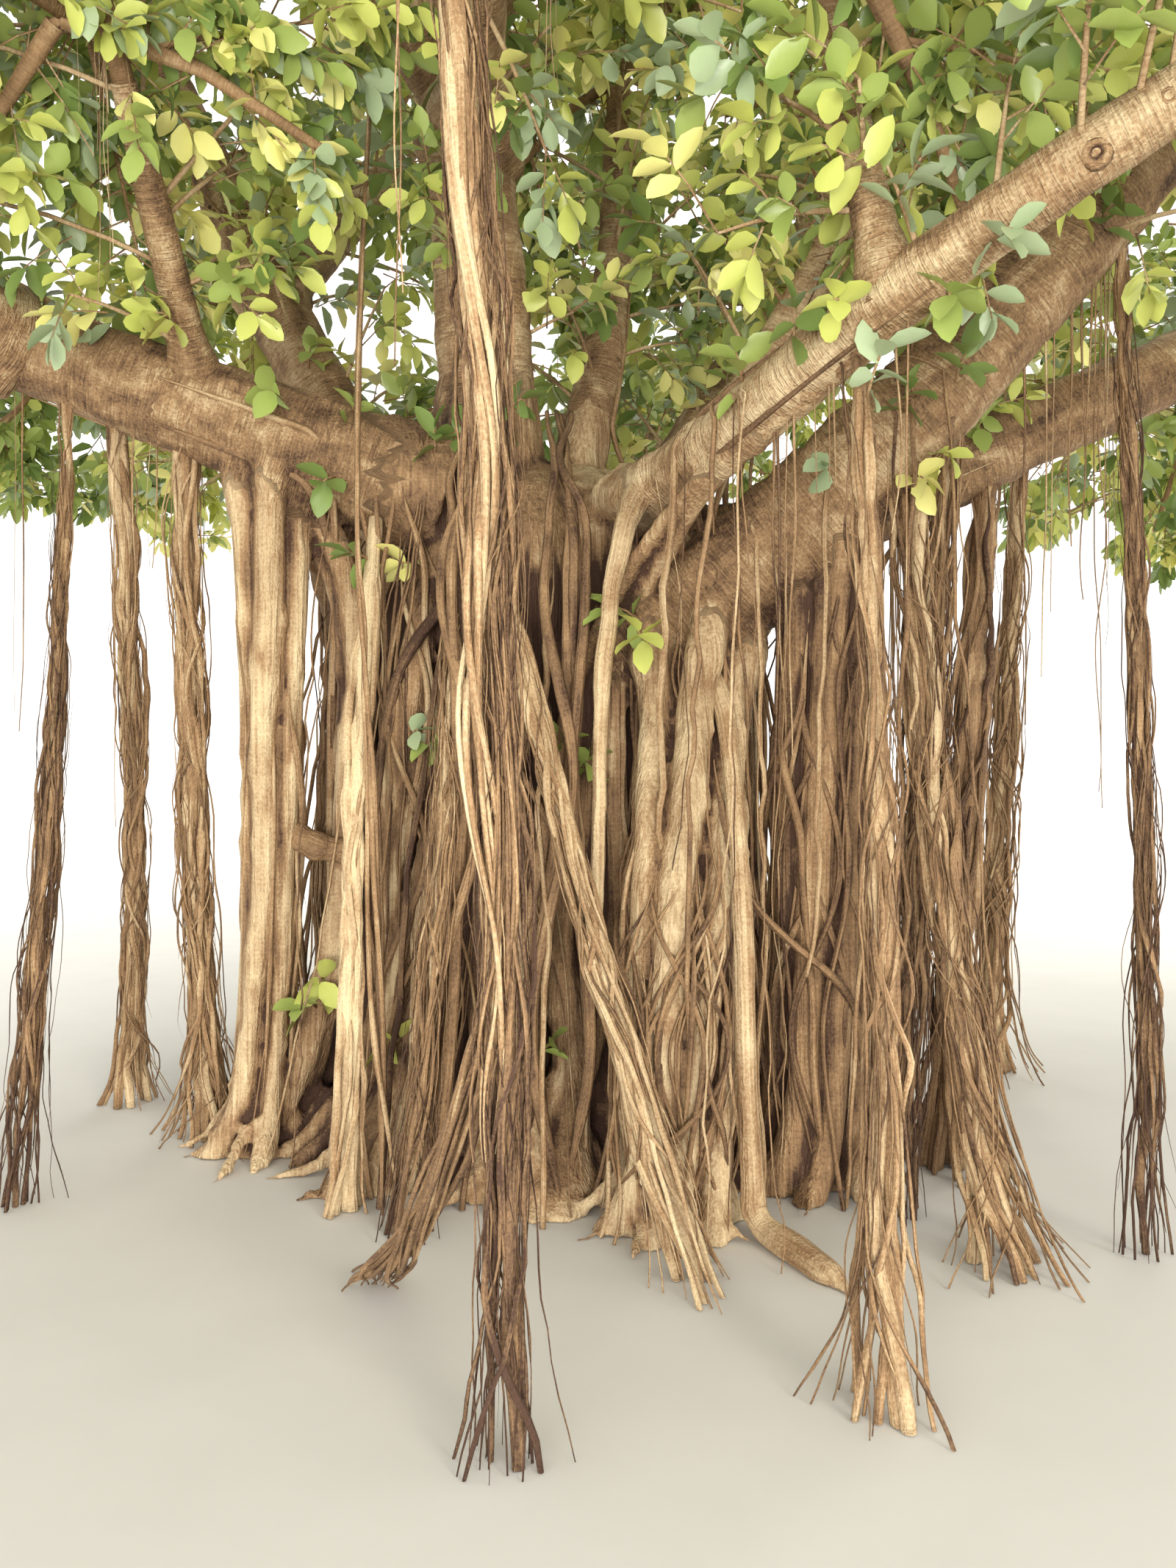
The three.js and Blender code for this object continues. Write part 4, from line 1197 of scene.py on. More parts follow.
def root_strands(root, random):
    """A standing root's middle line and half widths, and the lines and radii of its strands."""
    count = root["strands"]
    top = root["top"][2]
    rises = np.linspace(0, 1, max(int(top / STEP), 12))
    line = root_points(root, rises)
    heights = line[:, 2]
    wide = root_radii(root, rises, heights)
    narrow = root_radii(root, rises, heights, STRAND_FLARE)
    level = np.interp(rises, ROOT_LEVELS, range(len(ROOT_LEVELS)))
    share = STRAND_FILL * math.sin(math.pi / count) / (1 + math.sin(math.pi / count))
    cover = bough_radii(boughs[root["bough"]], root["at"]) if "bough" in root else FREE_COVER
    leaving = np.exp(-np.maximum(top - cover - heights, 0) / LEAVING_REACH)
    lines = []
    radii = []
    for k in range(count):
        wander = 0.22 * waver(heights * 1.7, k * 5.3, 13)
        angle = 2 * math.pi * k / count + STRAND_TURN * level + wander
        size = share * random.uniform(*STRAND_SIZES)
        radius = narrow * size * (1 + 0.14 * waver(heights * 3, k * 2.9, 14))
        radius = radius * (1 + LEAVING_SWELL * leaving)
        off = np.maximum(wide - radius, 0) * (1 + LEAVING_SPREAD * leaving)
        lines.append(line + around(off, angle))
        radii.append(radius)
    return line, wide, np.array(lines), np.array(radii)


# Thin roots over each column: how many, up to what share of its height, how far they wind about,
# how thick they are, and how far out as a share of the column's half width
COLUMN_NETS = {
    "column_left": dict(count=12, high=0.7, turn=0.6, radii=(0.004, 0.018), reach=(0.8, 1.08),
                        tone=0.55),
    "column_front_right": dict(count=110, high=0.66, turn=1.3, radii=(0.004, 0.011),
                               reach=(0.95, 1.1), tone=0.4),
    "column_right": dict(count=48, high=0.95, turn=0.9, radii=(0.004, 0.016), reach=(0.85, 1.08),
                         tone=0.27),
    "column_back": dict(count=30, high=0.8, turn=0.9, radii=(0.004, 0.016), reach=(0.85, 1.08),
                        tone=0.5),
}
NET_TONES = 0.13
NET_STARTS = (0, 0.15)  # shares of the column's steps
NET_FALL = 0.25  # how far under its high end a root may end
NET_TAPER = 0.1
THINNEST = 0.15  # of its own radius, at a thin root's tip


@gathered
def wound_strands(line, wide, net, random):
    """Lines and radii of thin roots that wind over a column."""
    steps = len(line)
    for _ in range(net["count"]):
        first = int(steps * random.uniform(*NET_STARTS))
        last = int(steps * random.uniform(net["high"] - NET_FALL, net["high"])) - 1
        picked = np.linspace(first, last, steps)
        along = resampled(line, range(steps), picked)
        phase = random.uniform(0, 100)
        run = along[:, 2] * 1.6
        angle = random.uniform(0, 2 * math.pi) + net["turn"] * waver(run, phase, 15)
        taper = np.clip((last - picked) / (NET_TAPER * steps), THINNEST, 1)
        if first:
            start = np.clip((picked - first) / (NET_TAPER * steps), THINNEST, 1)
            taper = np.minimum(taper, start)
        radius = random.uniform(*net["radii"]) * (1 + 0.25 * waver(run * 2.5, phase * 2.5, 16))
        off = np.interp(picked, range(steps), wide) * (1 + 0.1 * waver(run * 2, phase * 2, 17))
        off = off * random.uniform(*net["reach"]) * (0.8 + 0.2 * taper)
        yield along + around(off, angle), radius * taper


# The layers of a bundle of roots, from its few thick strands to its fibres: count is for one that
# is 75 mm thick, reach is by its width, part is how far they stand off at the ground, pale is how
# much lighter they are than the bundle, and ends and starts are shares of its height, from the
# ground up. Pillars are a few thick strands and ropes more; both stand on the ground.
LAYERS = {
    "pillar": (
        dict(count=3, radii=(0.024, 0.034), reach=0.45, part=0.05, wind=1.4, pale=0.12, sides=12,
             ends=(0, 0), starts=(1, 1)),
        dict(count=7, radii=(0.01, 0.018), reach=0.85, part=0.07, wind=1.8, pale=0, sides=8,
             ends=(0, 0), starts=(0.6, 1)),
        dict(count=8, radii=(0.003, 0.008), reach=1.0, part=0.08, wind=2.2, pale=-0.12, sides=5,
             ends=(0, 0.5), starts=(0.5, 1)),
    ),
    "rope": (
        dict(count=3, radii=(0.015, 0.022), reach=0.5, part=0.05, wind=2.8, pale=0.12, sides=10,
             ends=(0, 0), starts=(1, 1)),
        dict(count=10, radii=(0.007, 0.013), reach=0.85, part=0.09, wind=3.0, pale=0.02, sides=7,
             ends=(0, 0.06), starts=(0.5, 1)),
        dict(count=20, radii=(0.002, 0.005), reach=1.1, part=0.13, wind=3.2, pale=-0.15, sides=4,
             ends=(0, 0.5), starts=(0.4, 1)),
    ),
    "hanging": (
        dict(count=3, radii=(0.01, 0.016), reach=0.5, part=0.02, wind=2.4, pale=0.2, sides=8,
             ends=(0.2, 0.6), starts=(0.98, 1)),
        dict(count=9, radii=(0.006, 0.011), reach=0.75, part=0.05, wind=3.2, pale=0.12, sides=7,
             ends=(0, 0.1), starts=(0.8, 1)),
        dict(count=24, radii=(0.003, 0.006), reach=1.0, part=0.08, wind=2.8, pale=0, sides=5,
             ends=(0, 0.3), starts=(0.6, 1)),
        dict(count=40, radii=(0.0012, 0.003), reach=1.2, part=0.1, wind=2.2, pale=-0.15, sides=3,
             ends=(0, 0.45), starts=(0.4, 0.98)),
    ),
}
BUNDLE_STEPS = 64
BUNDLE_WIDTH = 0.075
LIFTED_SHARE = 0.6  # of the strands end above the ground, in the layers where they may
FULL_HEIGHT = 0.97  # strands that start above this share of the height don't taper to their tops
TIP = 0.12  # share of the height over which the others taper, and of their radius at the top
THINNEST_OFF = 0.004
PART_HEIGHT = 0.3
FINE_SWAY = 0.007
WIDE_SWAY = 0.016
JOINT_SHADE = 0.9  # how much darker standing roots are in the middle of their bough
WET_SHADE = 0.42
WET_HEIGHT = 0.7


@gathered
def bundle(line, wide, layer, random):
    """Lines and radii of one layer of a bundle."""
    rises = np.linspace(0, 1, len(line))
    for _ in range(max(round(layer["count"] * float(wide.max()) / BUNDLE_WIDTH), 2)):
        end = random.uniform(*layer["ends"]) if random.random() < LIFTED_SHARE else 0
        start = random.uniform(*layer["starts"])
        picked = np.linspace(end, start, BUNDLE_STEPS)
        along = resampled(line, rises, picked)
        heights = along[:, 2]
        phase = random.uniform(0, 100)
        wind = layer["wind"] * waver(heights * 1.6, phase, 15)
        angle = random.uniform(0, 2 * math.pi) + wind
        size = random.uniform(*layer["radii"])
        off = np.maximum(np.interp(picked, rises, wide) * layer["reach"] - size * 0.5, THINNEST_OFF)
        off = off * math.sqrt(random.uniform(0.15, 1)) * (1 + 0.4 * waver(heights * 2.3, phase, 17))
        off = off + layer["part"] * random.uniform(0, 1) * np.exp(-heights / PART_HEIGHT)
        shift = FINE_SWAY * sway(heights * 11, phase, (23, 24))
        shift = shift + WIDE_SWAY * sway(heights * 4, phase, (43, 44))
        radius = size * (1 + 0.25 * waver(heights * 9, phase, 16))
        if end:
            radius = radius * np.clip((picked - end) / TIP + THINNEST, THINNEST, 1)
        if start < FULL_HEIGHT:
            radius = radius * np.clip((start - picked) / TIP + TIP, TIP, 1)
        yield along + shift + around(off, angle), radius


# Slim roots that stand clear of the others: points of the middle line from the top down, radii
# at even shares of it, how many strands it has, how far they part at the top and at the foot,
# and how often they wind round each other
SLIM_ROOTS = (
    dict(path=((0.53, -0.74, 2.08), (0.6, -0.95, 1.8), (0.63, -1.11, 1.45), (0.64, -1.24, 1.0),
               (0.66, -1.28, 0.22), (0.68, -1.33, 0.06), (0.76, -1.48, 0.03), (0.84, -1.64, 0.02),
               (0.9, -1.78, 0.0)),
         radii=(0.03, 0.034, 0.036, 0.038, 0.04, 0.046, 0.052, 0.046, 0.02), strands=1,
         part=(0, 0), wind=0, tone=0.76),
    dict(path=((-0.12, -2.5, 2.1), (-0.09, -2.58, 1.3), (-0.2, -2.42, 0.75), (-0.4, -2.02, 0.25),
               (-0.56, -1.64, 0)),
         radii=(0.002, 0.006, 0.007, 0.008), strands=20, part=(0.02, 0.1), wind=0.8, tone=0.33),
    dict(path=((-1.2, -0.4, 1.38), (-1.02, -0.52, 1.28), (-0.8, -0.45, 1.22)),
         radii=(0.05, 0.06), strands=1, part=(0, 0), wind=0, tone=0.35),
    dict(path=((-0.3, -2.37, 4.5), (-0.235, -2.42, 3.5), (-0.2, -2.48, 2.9), (-0.13, -2.52, 2.3),
               (-0.17, -2.56, 1.7), (-0.11, -2.58, 1.1), (-0.12, -2.6, 0.7)),
         radii=(0.019, 0.018, 0.015, 0.011, 0.008, 0.006, 0.004), strands=6, part=(0.032, 0.06),
         wind=2.2, tone=0.62),
    dict(path=((0.36, -0.66, 2.74), (0.27, -0.86, 2.58), (0.2, -0.97, 2.3), (0.16, -1.02, 1.9),
               (0.14, -1.06, 1.4), (0.12, -1.06, 0.8)),
         radii=(0.06, 0.05, 0.036, 0.032, 0.026, 0.02), strands=1, part=(0, 0), wind=0, tone=0.7),
    dict(path=((-0.74, -0.58, 4.78), (-0.78, -0.72, 3.6), (-0.76, -0.9, 2.5), (-0.7, -0.98, 1.7),
               (-0.66, -1.05, 0.8), (-0.62, -1.12, 0)),
         radii=(0.006, 0.009, 0.012), strands=3, part=(0.006, 0.04), wind=1.5, tone=0.5),
    dict(path=((-0.02, -0.45, 3.05), (0.0, -0.68, 2.78), (0.03, -0.86, 2.4), (0.0, -0.92, 1.6),
               (-0.04, -0.97, 0.7), (-0.05, -1.08, 0)),
         radii=(0.01, 0.018, 0.022, 0.026), strands=5, part=(0.07, 0.16), wind=0.3, tone=0.36),
    dict(path=((-0.42, -0.5, 2.95), (-0.4, -0.72, 2.7), (-0.36, -0.84, 2.3), (-0.34, -0.92, 1.5),
               (-0.36, -0.98, 0.7), (-0.38, -1.08, 0)),
         radii=(0.01, 0.018, 0.024, 0.028), strands=4, part=(0.07, 0.15), wind=-0.3, tone=0.34),
)
SLIM_STEPS = 60
SLIM_TONES = 0.08
SLIM_SIDES = 6
LONE_SIDES = 14  # of a slim root of one strand
DRIFT = 0.4


def curve(path, steps):
    """A smooth line through points, at even shares of its way between them."""
    points = np.array(path, float)
    before = np.concatenate([points[:1] * 2 - points[1:2], points[:-1]])
    after = np.concatenate([points[1:], points[-1:] * 2 - points[-2:-1]])
    slopes = (after - before) / 2
    at = np.linspace(0, len(points) - 1, steps)
    first = np.minimum(at.astype(int), len(points) - 2)
    t = (at - first)[:, None]
    a, b = points[first], points[first + 1]
    return (a * (2 * t**3 - 3 * t**2 + 1) + b * (3 * t**2 - 2 * t**3)
            + slopes[first] * (t**3 - 2 * t**2 + t) + slopes[first + 1] * (t**3 - t**2))


@gathered
def slim_strands(root, random):
    """Lines and radii of a slim root's strands, wound about its middle line."""
    shares = np.linspace(0, 1, SLIM_STEPS)
    middle = curve(root["path"], len(shares))
    known = np.linspace(0, 1, len(root["radii"]))
    for k in range(root["strands"]):
        angle = random.uniform(0, 2 * math.pi) + waver(shares * 5, k * 4.1, 25)
        angle = angle + 2 * math.pi * root["wind"] * shares
        off = random.uniform(0.2, 1) * np.interp(shares**2, (0, 1), root["part"])
        run = shares * 14
        phase = k * 3.3
        drift = DRIFT * np.interp(shares, (0, 1), root["part"])[:, None]
        drift = drift * sway(run * 0.35, phase * 0.35, (49, 50))
        shift = FINE_SWAY * sway(run, phase, (26, 27))
        radius = np.interp(shares, known, root["radii"]) * (1 + 0.1 * waver(run, phase, 28))
        radius = radius * np.clip((1 - shares) / 0.1, 0.4, 1)
        yield middle + shift + drift + around(off, angle), radius


# How many groups of thin roots hang free from each of these boughs
STRING_GROUPS = {
    "left": 5, "right_main": 5, "right_front": 3, "front": 4, "left_high": 4, "right_back": 4,
    "left_back": 3, "back": 4, "back_left": 4, "right_low": 4, "front_left": 3, "front_high": 2,
}
STRING_STRETCH = (0.22, 0.8)  # of a bough, where they hang
STRING_LENGTHS = (0.5, 2.3)
STRING_COUNTS = (2, 5)  # from, and up to but not with
STRING_RADII = (0.002, 0.006)
STRING_SWAY = 0.03
STRING_TAPER = 0.6
STRING_HEIGHT = 0.25  # no string ends lower
STRING_TONE = 0.5
STRING_TONES = 0.15


@gathered
def strings(random):
    """Lines and radii of thin roots that hang free, in groups of a few."""
    drops = np.linspace(0, 1, 36)
    for name, groups in STRING_GROUPS.items():
        for share in random.uniform(*STRING_STRETCH, groups):
            length = random.uniform(*STRING_LENGTHS)
            for k in range(random.integers(*STRING_COUNTS)):
                at = np.clip(share + random.normal(0, 0.012), 0, 1)
                top = bough_points(boughs[name], at)
                drop = min(length * random.uniform(0.6, 1), top[2] - STRING_HEIGHT)
                shift = sway(drops * drop * 2.5, k * 7.1 + share * 90, (32, 33))
                fall = np.stack([0 * drops, 0 * drops, drops * drop], 1)
                line = top + STRING_SWAY * drops[:, None] * shift - fall
                yield line, random.uniform(*STRING_RADII) * (1 - STRING_TAPER * drops)


def dress_root(root, random):
    """A column's net of thin roots, or the bundle that any other root is."""
    shape = Shape()
    # Only the middle line and its width are used here, since a column's strands are in the
    # trunk's skin; the strands' own draws keep the order of those that follow
    line, wide = root_strands(root, random)[:2]
    if root["kind"] == "column":
        net = COLUMN_NETS[root["name"]]
        lines, radii = wound_strands(line, wide, net, random)
        tones = dealt(random, net["tone"], NET_TONES, (len(lines), 1))
        add_tubes(shape, lines, radii, 7, tones, strand_relief)
        return shape
    for layer in LAYERS[root["kind"]]:
        lines, radii = bundle(line, wide, layer, random)
        tones = random.normal(root["tone"] + layer["pale"], ROOT_TONES, (len(lines), 1))
        if root["kind"] == "hanging":
            tones = tones - WET_SHADE * np.exp(-lines[:, :, 2] / WET_HEIGHT)
        else:
            below = root["top"][2] - lines[:, :, 2]
            tones = tones - JOINT_SHADE * np.exp(-below / JOINT_REACH)
        add_tubes(shape, lines, radii, layer["sides"], np.clip(tones, 0, 1), strand_relief)
    return shape


def view_ray(across, down):
    """The way from the eye to a pixel of the photograph."""
    return Vector(((across - PHOTO["centre"][0]) / PHOTO["width"], 1,
                   (PHOTO["centre"][1] - down) / PHOTO["width"])).normalized()


def surface_of(shapes):
    """A tree of all faces of some shapes, to find where a ray meets them."""
    points = []
    faces = []
    count = 0
    for shape in shapes:
        points += np.concatenate(shape.points).tolist()
        for group in shape.faces:
            faces += (group + count).tolist()
        count = len(points)
    return BVHTree.FromPolygons(points, faces)


CLIMBERS = 6  # for each bough that leaves the trunk
CLIMBER_RADII = (0.006, 0.018)
CLIMBER_TAPER = ((0, 0.1, 0.7, 1), (0.4, 1, 0.8, 0.15))
CLIMBER_BEARINGS = (-0.6, 0.6)  # radians to either side of the bough's
CLIMBER_STARTS = (0.8, 1.7)  # heights on the trunk
CLIMBER_ENDS = (0.8, 1.9)  # metres out along the bough
ON_BARK = 1.02  # of a bough's radius, where roots lie on it


@gathered
def climbing_strands(random):
    """Slim roots that run up the trunk, on along a bough and end on its bark."""
    shares = np.linspace(0, 1, 48)
    for bough in trunk_boughs:
        way = float(bearing(bough_points(bough, OUTER_SHARE)))
        for _ in range(CLIMBERS):
            angle = way + random.uniform(*CLIMBER_BEARINGS)
            heights = np.linspace(random.uniform(*CLIMBER_STARTS), TRUNK["shoulder"], 12)
            low = trunk_point(angle + 0 * heights, heights)
            out = np.linspace(CLOSE_OUT, random.uniform(*CLIMBER_ENDS), 22) / bough_length(bough)
            middle = bough_points(bough, out)
            axis = unit(np.gradient(middle, axis=0))
            side = low[-1] - middle + random.normal(0, 0.5, 3)
            side = unit(side - axis * dot(side, axis))
            high = middle + side * bough_radii(bough, out)[:, None] * ON_BARK
            line = smoothed(smoothed(np.concatenate([low, high]), 3), 2)
            line = resampled(line, np.linspace(0, 1, len(line)), shares)
            yield line, random.uniform(*CLIMBER_RADII) * np.interp(shares, *CLIMBER_TAPER)


# Boughs that slim roots come over on their way down: how many roots, and over what stretch
DRAPES = {"left": (17, 0.0, 0.13), "right_main": (28, 0.06, 0.4), "right_front": (10, 0.04, 0.28),
          "right_back": (12, 0.1, 0.36), "left_back": (10, 0.02, 0.14), "back": (18, 0.05, 0.33),
          "back_left": (16, 0.03, 0.28), "right_low": (16, 0.05, 0.33)}
DRAPE_RADII = (0.0025, 0.004, 0.006, 0.009, 0.014)
DRAPE_SHARES = (0.2, 0.3, 0.25, 0.15, 0.1)  # of the draped roots, by radius
SHORT_SHARE = 0.35  # of those away from the trunk end above the ground
NEAR_TRUNK = 1.2  # half widths of the trunk: roots that fall nearer run down its skin
DRAPE_SLIP = 0.12  # metres along the bough, each way, between the bough's crest and its side
DRAPE_SPREAD = 0.09
DRAPE_SWAYS = (0.045, 0.015)
SHORT_ENDS = (0.3, 1.8)
CLING_HEIGHT = 0.7  # metres of fall in which a root comes to the trunk's skin
CLING_GAPS = (0.01, 0.06)  # shares of the way from the trunk's middle that it keeps off the skin
ARC_STEPS = 10
FALL_STEPS = 34


@gathered
def draped_strands(random):
    """Slim roots that come over the side of a bough, and fall to the ground or part of the way."""
    fall = np.linspace(0, 1, FALL_STEPS + 1)[1:]
    for name, (count, low, high) in DRAPES.items():
        bough = boughs[name]
        for _ in range(count):
            share = random.uniform(low, high)
            middle = bough_points(bough, share)
            axis = unit(bough_points(bough, share + AHEAD) - middle)
            side = unit(np.cross(axis, (0, 0, 1))) * random.choice((-1, 1))
            crest = np.cross(side, axis)
            crest = crest * np.sign(crest[2])
            turn = np.linspace(random.uniform(0.3, 1.5), 0, ARC_STEPS)[:, None]
            slip = axis * random.uniform(-DRAPE_SLIP, DRAPE_SLIP) * turn
            radius = bough_radii(bough, share) * ON_BARK
            arc = middle + slip + (side * np.cos(turn) + crest * np.sin(turn)) * radius
            last = arc[-1]
            heights = last[2] * (1 - fall)
            flat = np.linalg.norm((last[:2] - TRUNK["centre"]) / TRUNK["half"])
            if flat < NEAR_TRUNK:
                angle = bearing(last) + random.uniform(-0.1, 0.1) * fall
                goal = trunk_point(angle, heights)[:, :2]
                goal = goal + (goal - TRUNK["centre"]) * random.uniform(*CLING_GAPS)
                share = np.clip((last[2] - heights) / CLING_HEIGHT, 0, 1)[:, None]
            else:
                goal = last[:2] + random.normal(0, DRAPE_SPREAD, 2) + 0 * heights[:, None]
                share = fall[:, None]
                if random.random() < SHORT_SHARE:
                    heights = last[2] - (last[2] - random.uniform(*SHORT_ENDS)) * fall
            place = last[:2] + (goal - last[:2]) * share
            run = heights * 1.8
            phase = random.uniform(0, 90)
            shift = (DRAPE_SWAYS[0] * sway(run, phase, (41, 42))
                     + DRAPE_SWAYS[1] * sway(run * 4, phase * 4, (45, 46)))
            place = place + np.minimum(fall * 5, 1)[:, None] * shift[:, :2]
            line = np.concatenate([arc, np.column_stack([place, heights])])
            thick = random.choice(DRAPE_RADII, p=DRAPE_SHARES)
            yield line, thick * np.interp(np.arange(len(line)), (0, 8), (0.2, 1))


CRAWLERS = 230
CRAWL_RADII = (0.004, 0.007, 0.011, 0.017, 0.024)
CRAWL_SHARES = (0.3, 0.3, 0.2, 0.13, 0.07)  # of the crawling roots, by radius
CRAWL_STARTS = (-1.4, 1.2)  # heights of their feet, those below the ground at it
CRAWL_LENGTHS = (0.9, 2.9)
CRAWL_TOPS = (2.2, 2.75)
CRAWL_WANDER = 0.14
CRAWL_LEAN = 0.22
CRAWL_TIP = 0.12
CRAWL_TAPS = 3
FROM_OUTSIDE = 3  # metres from the trunk's middle, where the way to its skin is measured from
LEAP = 0.035  # a crawling root whose way jumps further in one step is left out


def windows(values, taps):
    """For each value, a row of those from taps before it to taps after it."""
    padded = np.pad(values, taps, mode="edge")
    return np.array([padded[i:i + 2 * taps + 1] for i in range(len(values))])


@gathered
def crawling_strands(surface, random):
    """Thin roots that run down the trunk's skin, over its ridges and creases."""
    middle = Vector((*TRUNK["centre"], 0))
    shares = np.linspace(0, 1, 44)
    for k in range(CRAWLERS):
        low = max(random.uniform(*CRAWL_STARTS), 0)
        high = min(low + random.uniform(*CRAWL_LENGTHS), random.uniform(*CRAWL_TOPS))
        heights = low + (high - low) * shares
        wander = waver(heights * 1.6, k * 7.7, 18)
        start = 2 * math.pi * (k + random.uniform(-0.4, 0.4)) / CRAWLERS
        angles = start + CRAWL_WANDER * wander + random.normal(0, CRAWL_LEAN) * (heights - low)
        reach = []
        for angle, height in zip(angles, heights):
            outward = Vector((math.cos(angle), math.sin(angle), 0))
            origin = middle + outward * FROM_OUTSIDE + Vector((0, 0, max(float(height), 0.01)))
            hit = surface.ray_cast(origin, -outward)[0]
            reach.append((hit - middle).xy.length if hit else TRUNK["half"][0] * 0.8)
        reach = windows(np.array(reach), CRAWL_TAPS).max(axis=1)
        reach = windows(reach, CRAWL_TAPS).mean(axis=1)
        if np.abs(np.diff(reach)).max() > LEAP:
            continue
        thick = random.choice(CRAWL_RADII, p=CRAWL_SHARES)
        radius = thick * (1 + 0.2 * wander) * np.clip((1 - shares) / CRAWL_TIP, THINNEST, 1)
        if low:
            radius = radius * np.clip(shares / CRAWL_TIP, THINNEST, 1)
        line = np.stack([middle.x + reach * np.cos(angles),
                         middle.y + reach * np.sin(angles), heights], 1)
        yield line, radius


FREE_ROOTS = 38
FREE_TOPS = (2.35, 2.6)
FREE_RADII = (0.003, 0.013)
FREE_GAPS = (-0.04, 0.1)  # shares of the way from the trunk's middle that their feet stand off
FREE_SWAYS = (0.045, 0.014)
FREE_TIP = 0.15


@gathered
def free_strands(random):
    """Slim roots that hang from the shoulder of the trunk to the ground close to its foot."""
    rises = np.linspace(0, 1, 40)
    middle = np.array((*TRUNK["centre"], 0))
    for k in range(FREE_ROOTS):
        start = 2 * math.pi * (k + random.uniform(-0.5, 0.5)) / FREE_ROOTS
        top = trunk_point(np.array(start), np.array(random.uniform(*FREE_TOPS)))
        foot = trunk_point(np.array(start + random.uniform(-0.12, 0.12)), np.array(0.0))
        foot = foot + (foot - middle) * random.uniform(*FREE_GAPS)
        run = rises * 5
        phase = k * 9.1
        shift = (FREE_SWAYS[0] * sway(run, phase, (19, 20))
                 + FREE_SWAYS[1] * sway(run * 3, phase * 3, (47, 48)))
        taper = np.clip((1 - rises) / FREE_TIP, THINNEST, 1)
        swell = 1 + 0.15 * waver(run * 3, phase * 3, 22)
        line = foot + (top - foot) * rises[:, None] + shift
        yield line, random.uniform(*FREE_RADII) * swell * taper


# Foliage beyond the blades: shoots, sprays and leaves

BLADE_SHOOTS = 18
TWIG_SHOOTS = 14
FIRST_SHOOT = 0.12  # share of a blade's length
SHOOT_MARGIN = 0.02
SPRAY_PAD = 0.05
SPRAY_GAP = 0.022  # metres between the leaves of a spray, along its stem
SPRAY_LEAVES = (6, 10)  # from, and up to but not with
LOWER_LEAVES = (3, 7)  # of the sprays half way along the shoots
SIDE_LEAVES = (5, 10)
VIEW_LEAVES = (4, 8)
LEAF_LENGTH = 0.17
LENGTH_VARIES = (0.72, 1.15)
LEAF_WIDTH = 0.58
LEAF_FOLD = 0.35
LEAF_CURL = (0.02, 0.22)
# Sizes of the leaves in the masses that hang before the trunk, beside those of the others
LEAF_SIZES = {"front": 0.66, "front_high": 0.7, "front_inner": 0.68, "right_front": 0.72,
              "front_left": 0.78, "left_high": 0.8, "left_inner": 0.78, "upright": 0.82,
              "right_main": 0.86, "left": 0.88, "leader": 0.9, "top_right": 0.9}
SIDE_LEAF = 0.8  # size of the leaves on shoots outside the masses
# Share of the sprays that the more open masses bear, where the photograph shows sky
OPEN_MASSES = {"inner_back": 0.45, "upright": 0.6, "back_high": 0.72, "back": 0.74,
               "back_right": 0.68, "right_main": 0.7, "right_back": 0.74, "front_inner": 0.75,
               "right_front": 0.85, "right_low": 0.82, "left_back": 0.85, "top_right": 0.88,
               "leader": 0.88, "left_inner": 0.85}
# Radii of stems and shoots at even steps, from their roots to their ends
BRANCHLET_RADII = (0.011, 0.009, 0.007, 0.004)
SHOOT_RADII = (0.005, 0.004, 0.0025)
SIDE_STEM_RADII = (0.012, 0.01, 0.009, 0.007, 0.005)
SIDE_SHOOT_RADII = (0.0045, 0.0035, 0.0025)
VIEW_SHOOT_RADII = (0.006, 0.005, 0.004, 0.003)


def arched(roots, ends, lift, steps):
    """Lines from roots to ends that rise a little over the straight way."""
    shares = np.linspace(0, 1, steps)[None, :, None]
    lines = roots[:, None] + (ends - roots)[:, None] * shares
    lengths = np.linalg.norm(ends - roots, axis=1)[:, None]
    lines[:, :, 2] += lift * lengths * np.sin(math.pi * shares[:, :, 0])
    return lines


def add_stems(shape, roots, ends, lift, radii, sides, tone):
    """Adds an arched stem from each root to its end."""
    lines = arched(roots, ends, lift, len(radii))
    add_tubes(shape, lines, np.repeat([radii], len(roots), 0), sides, tone)


def shoots_on(twigs, blades, mass, random):
    """Shoots to both sides of each branchlet, and off its plane, and a few on the twigs."""
    roots = []
    ends = []
    for twig in twigs:
        for k in range(TWIG_SHOOTS):
            root = on_twig(twig, (k + 1) / TWIG_SHOOTS)
            heading = unit(random.normal(0, 1, 3) + unit(twig[2] - twig[0]) * 0.6)
            roots.append(root)
            ends.append(root + heading * random.uniform(0.2, 0.5))
    for blade in blades:
        length = np.linalg.norm(blade["way"])
        ahead = unit(blade["way"])
        aside = unit(blade["side"])
        for k in range(BLADE_SHOOTS):
            step = (k + random.uniform(0, 0.6)) / BLADE_SHOOTS
            share = FIRST_SHOOT + (1 - FIRST_SHOOT) * step
            narrow = min(share / BLADE_WIDEST, (1 - share) / (1 - BLADE_WIDEST))
            last = k == BLADE_SHOOTS - 1
            open_by = random.uniform(0, 0.3) if last else random.uniform(0.7, 1.15)
            rise = random.uniform(-1.2, 1.2)
            hand = 1 if k % 2 else -1
            out = aside * hand * math.cos(rise) + blade["normal"] * math.sin(rise)
            heading = ahead * math.cos(open_by) + out * math.sin(open_by)
            reach = 0.16 + narrow * length * BLADE_WIDTH * random.uniform(0.28, 0.5)
            root = blade["root"] + blade["way"] * share
            roots.append(root)
            ends.append(root + heading * reach)
    roots = np.array(roots)
    ends = np.array(ends)
    keep = inside_mass(ends, mass, SHOOT_MARGIN) & clear_of_limbs(ends, SPRAY_PAD)
    return roots[keep], ends[keep]


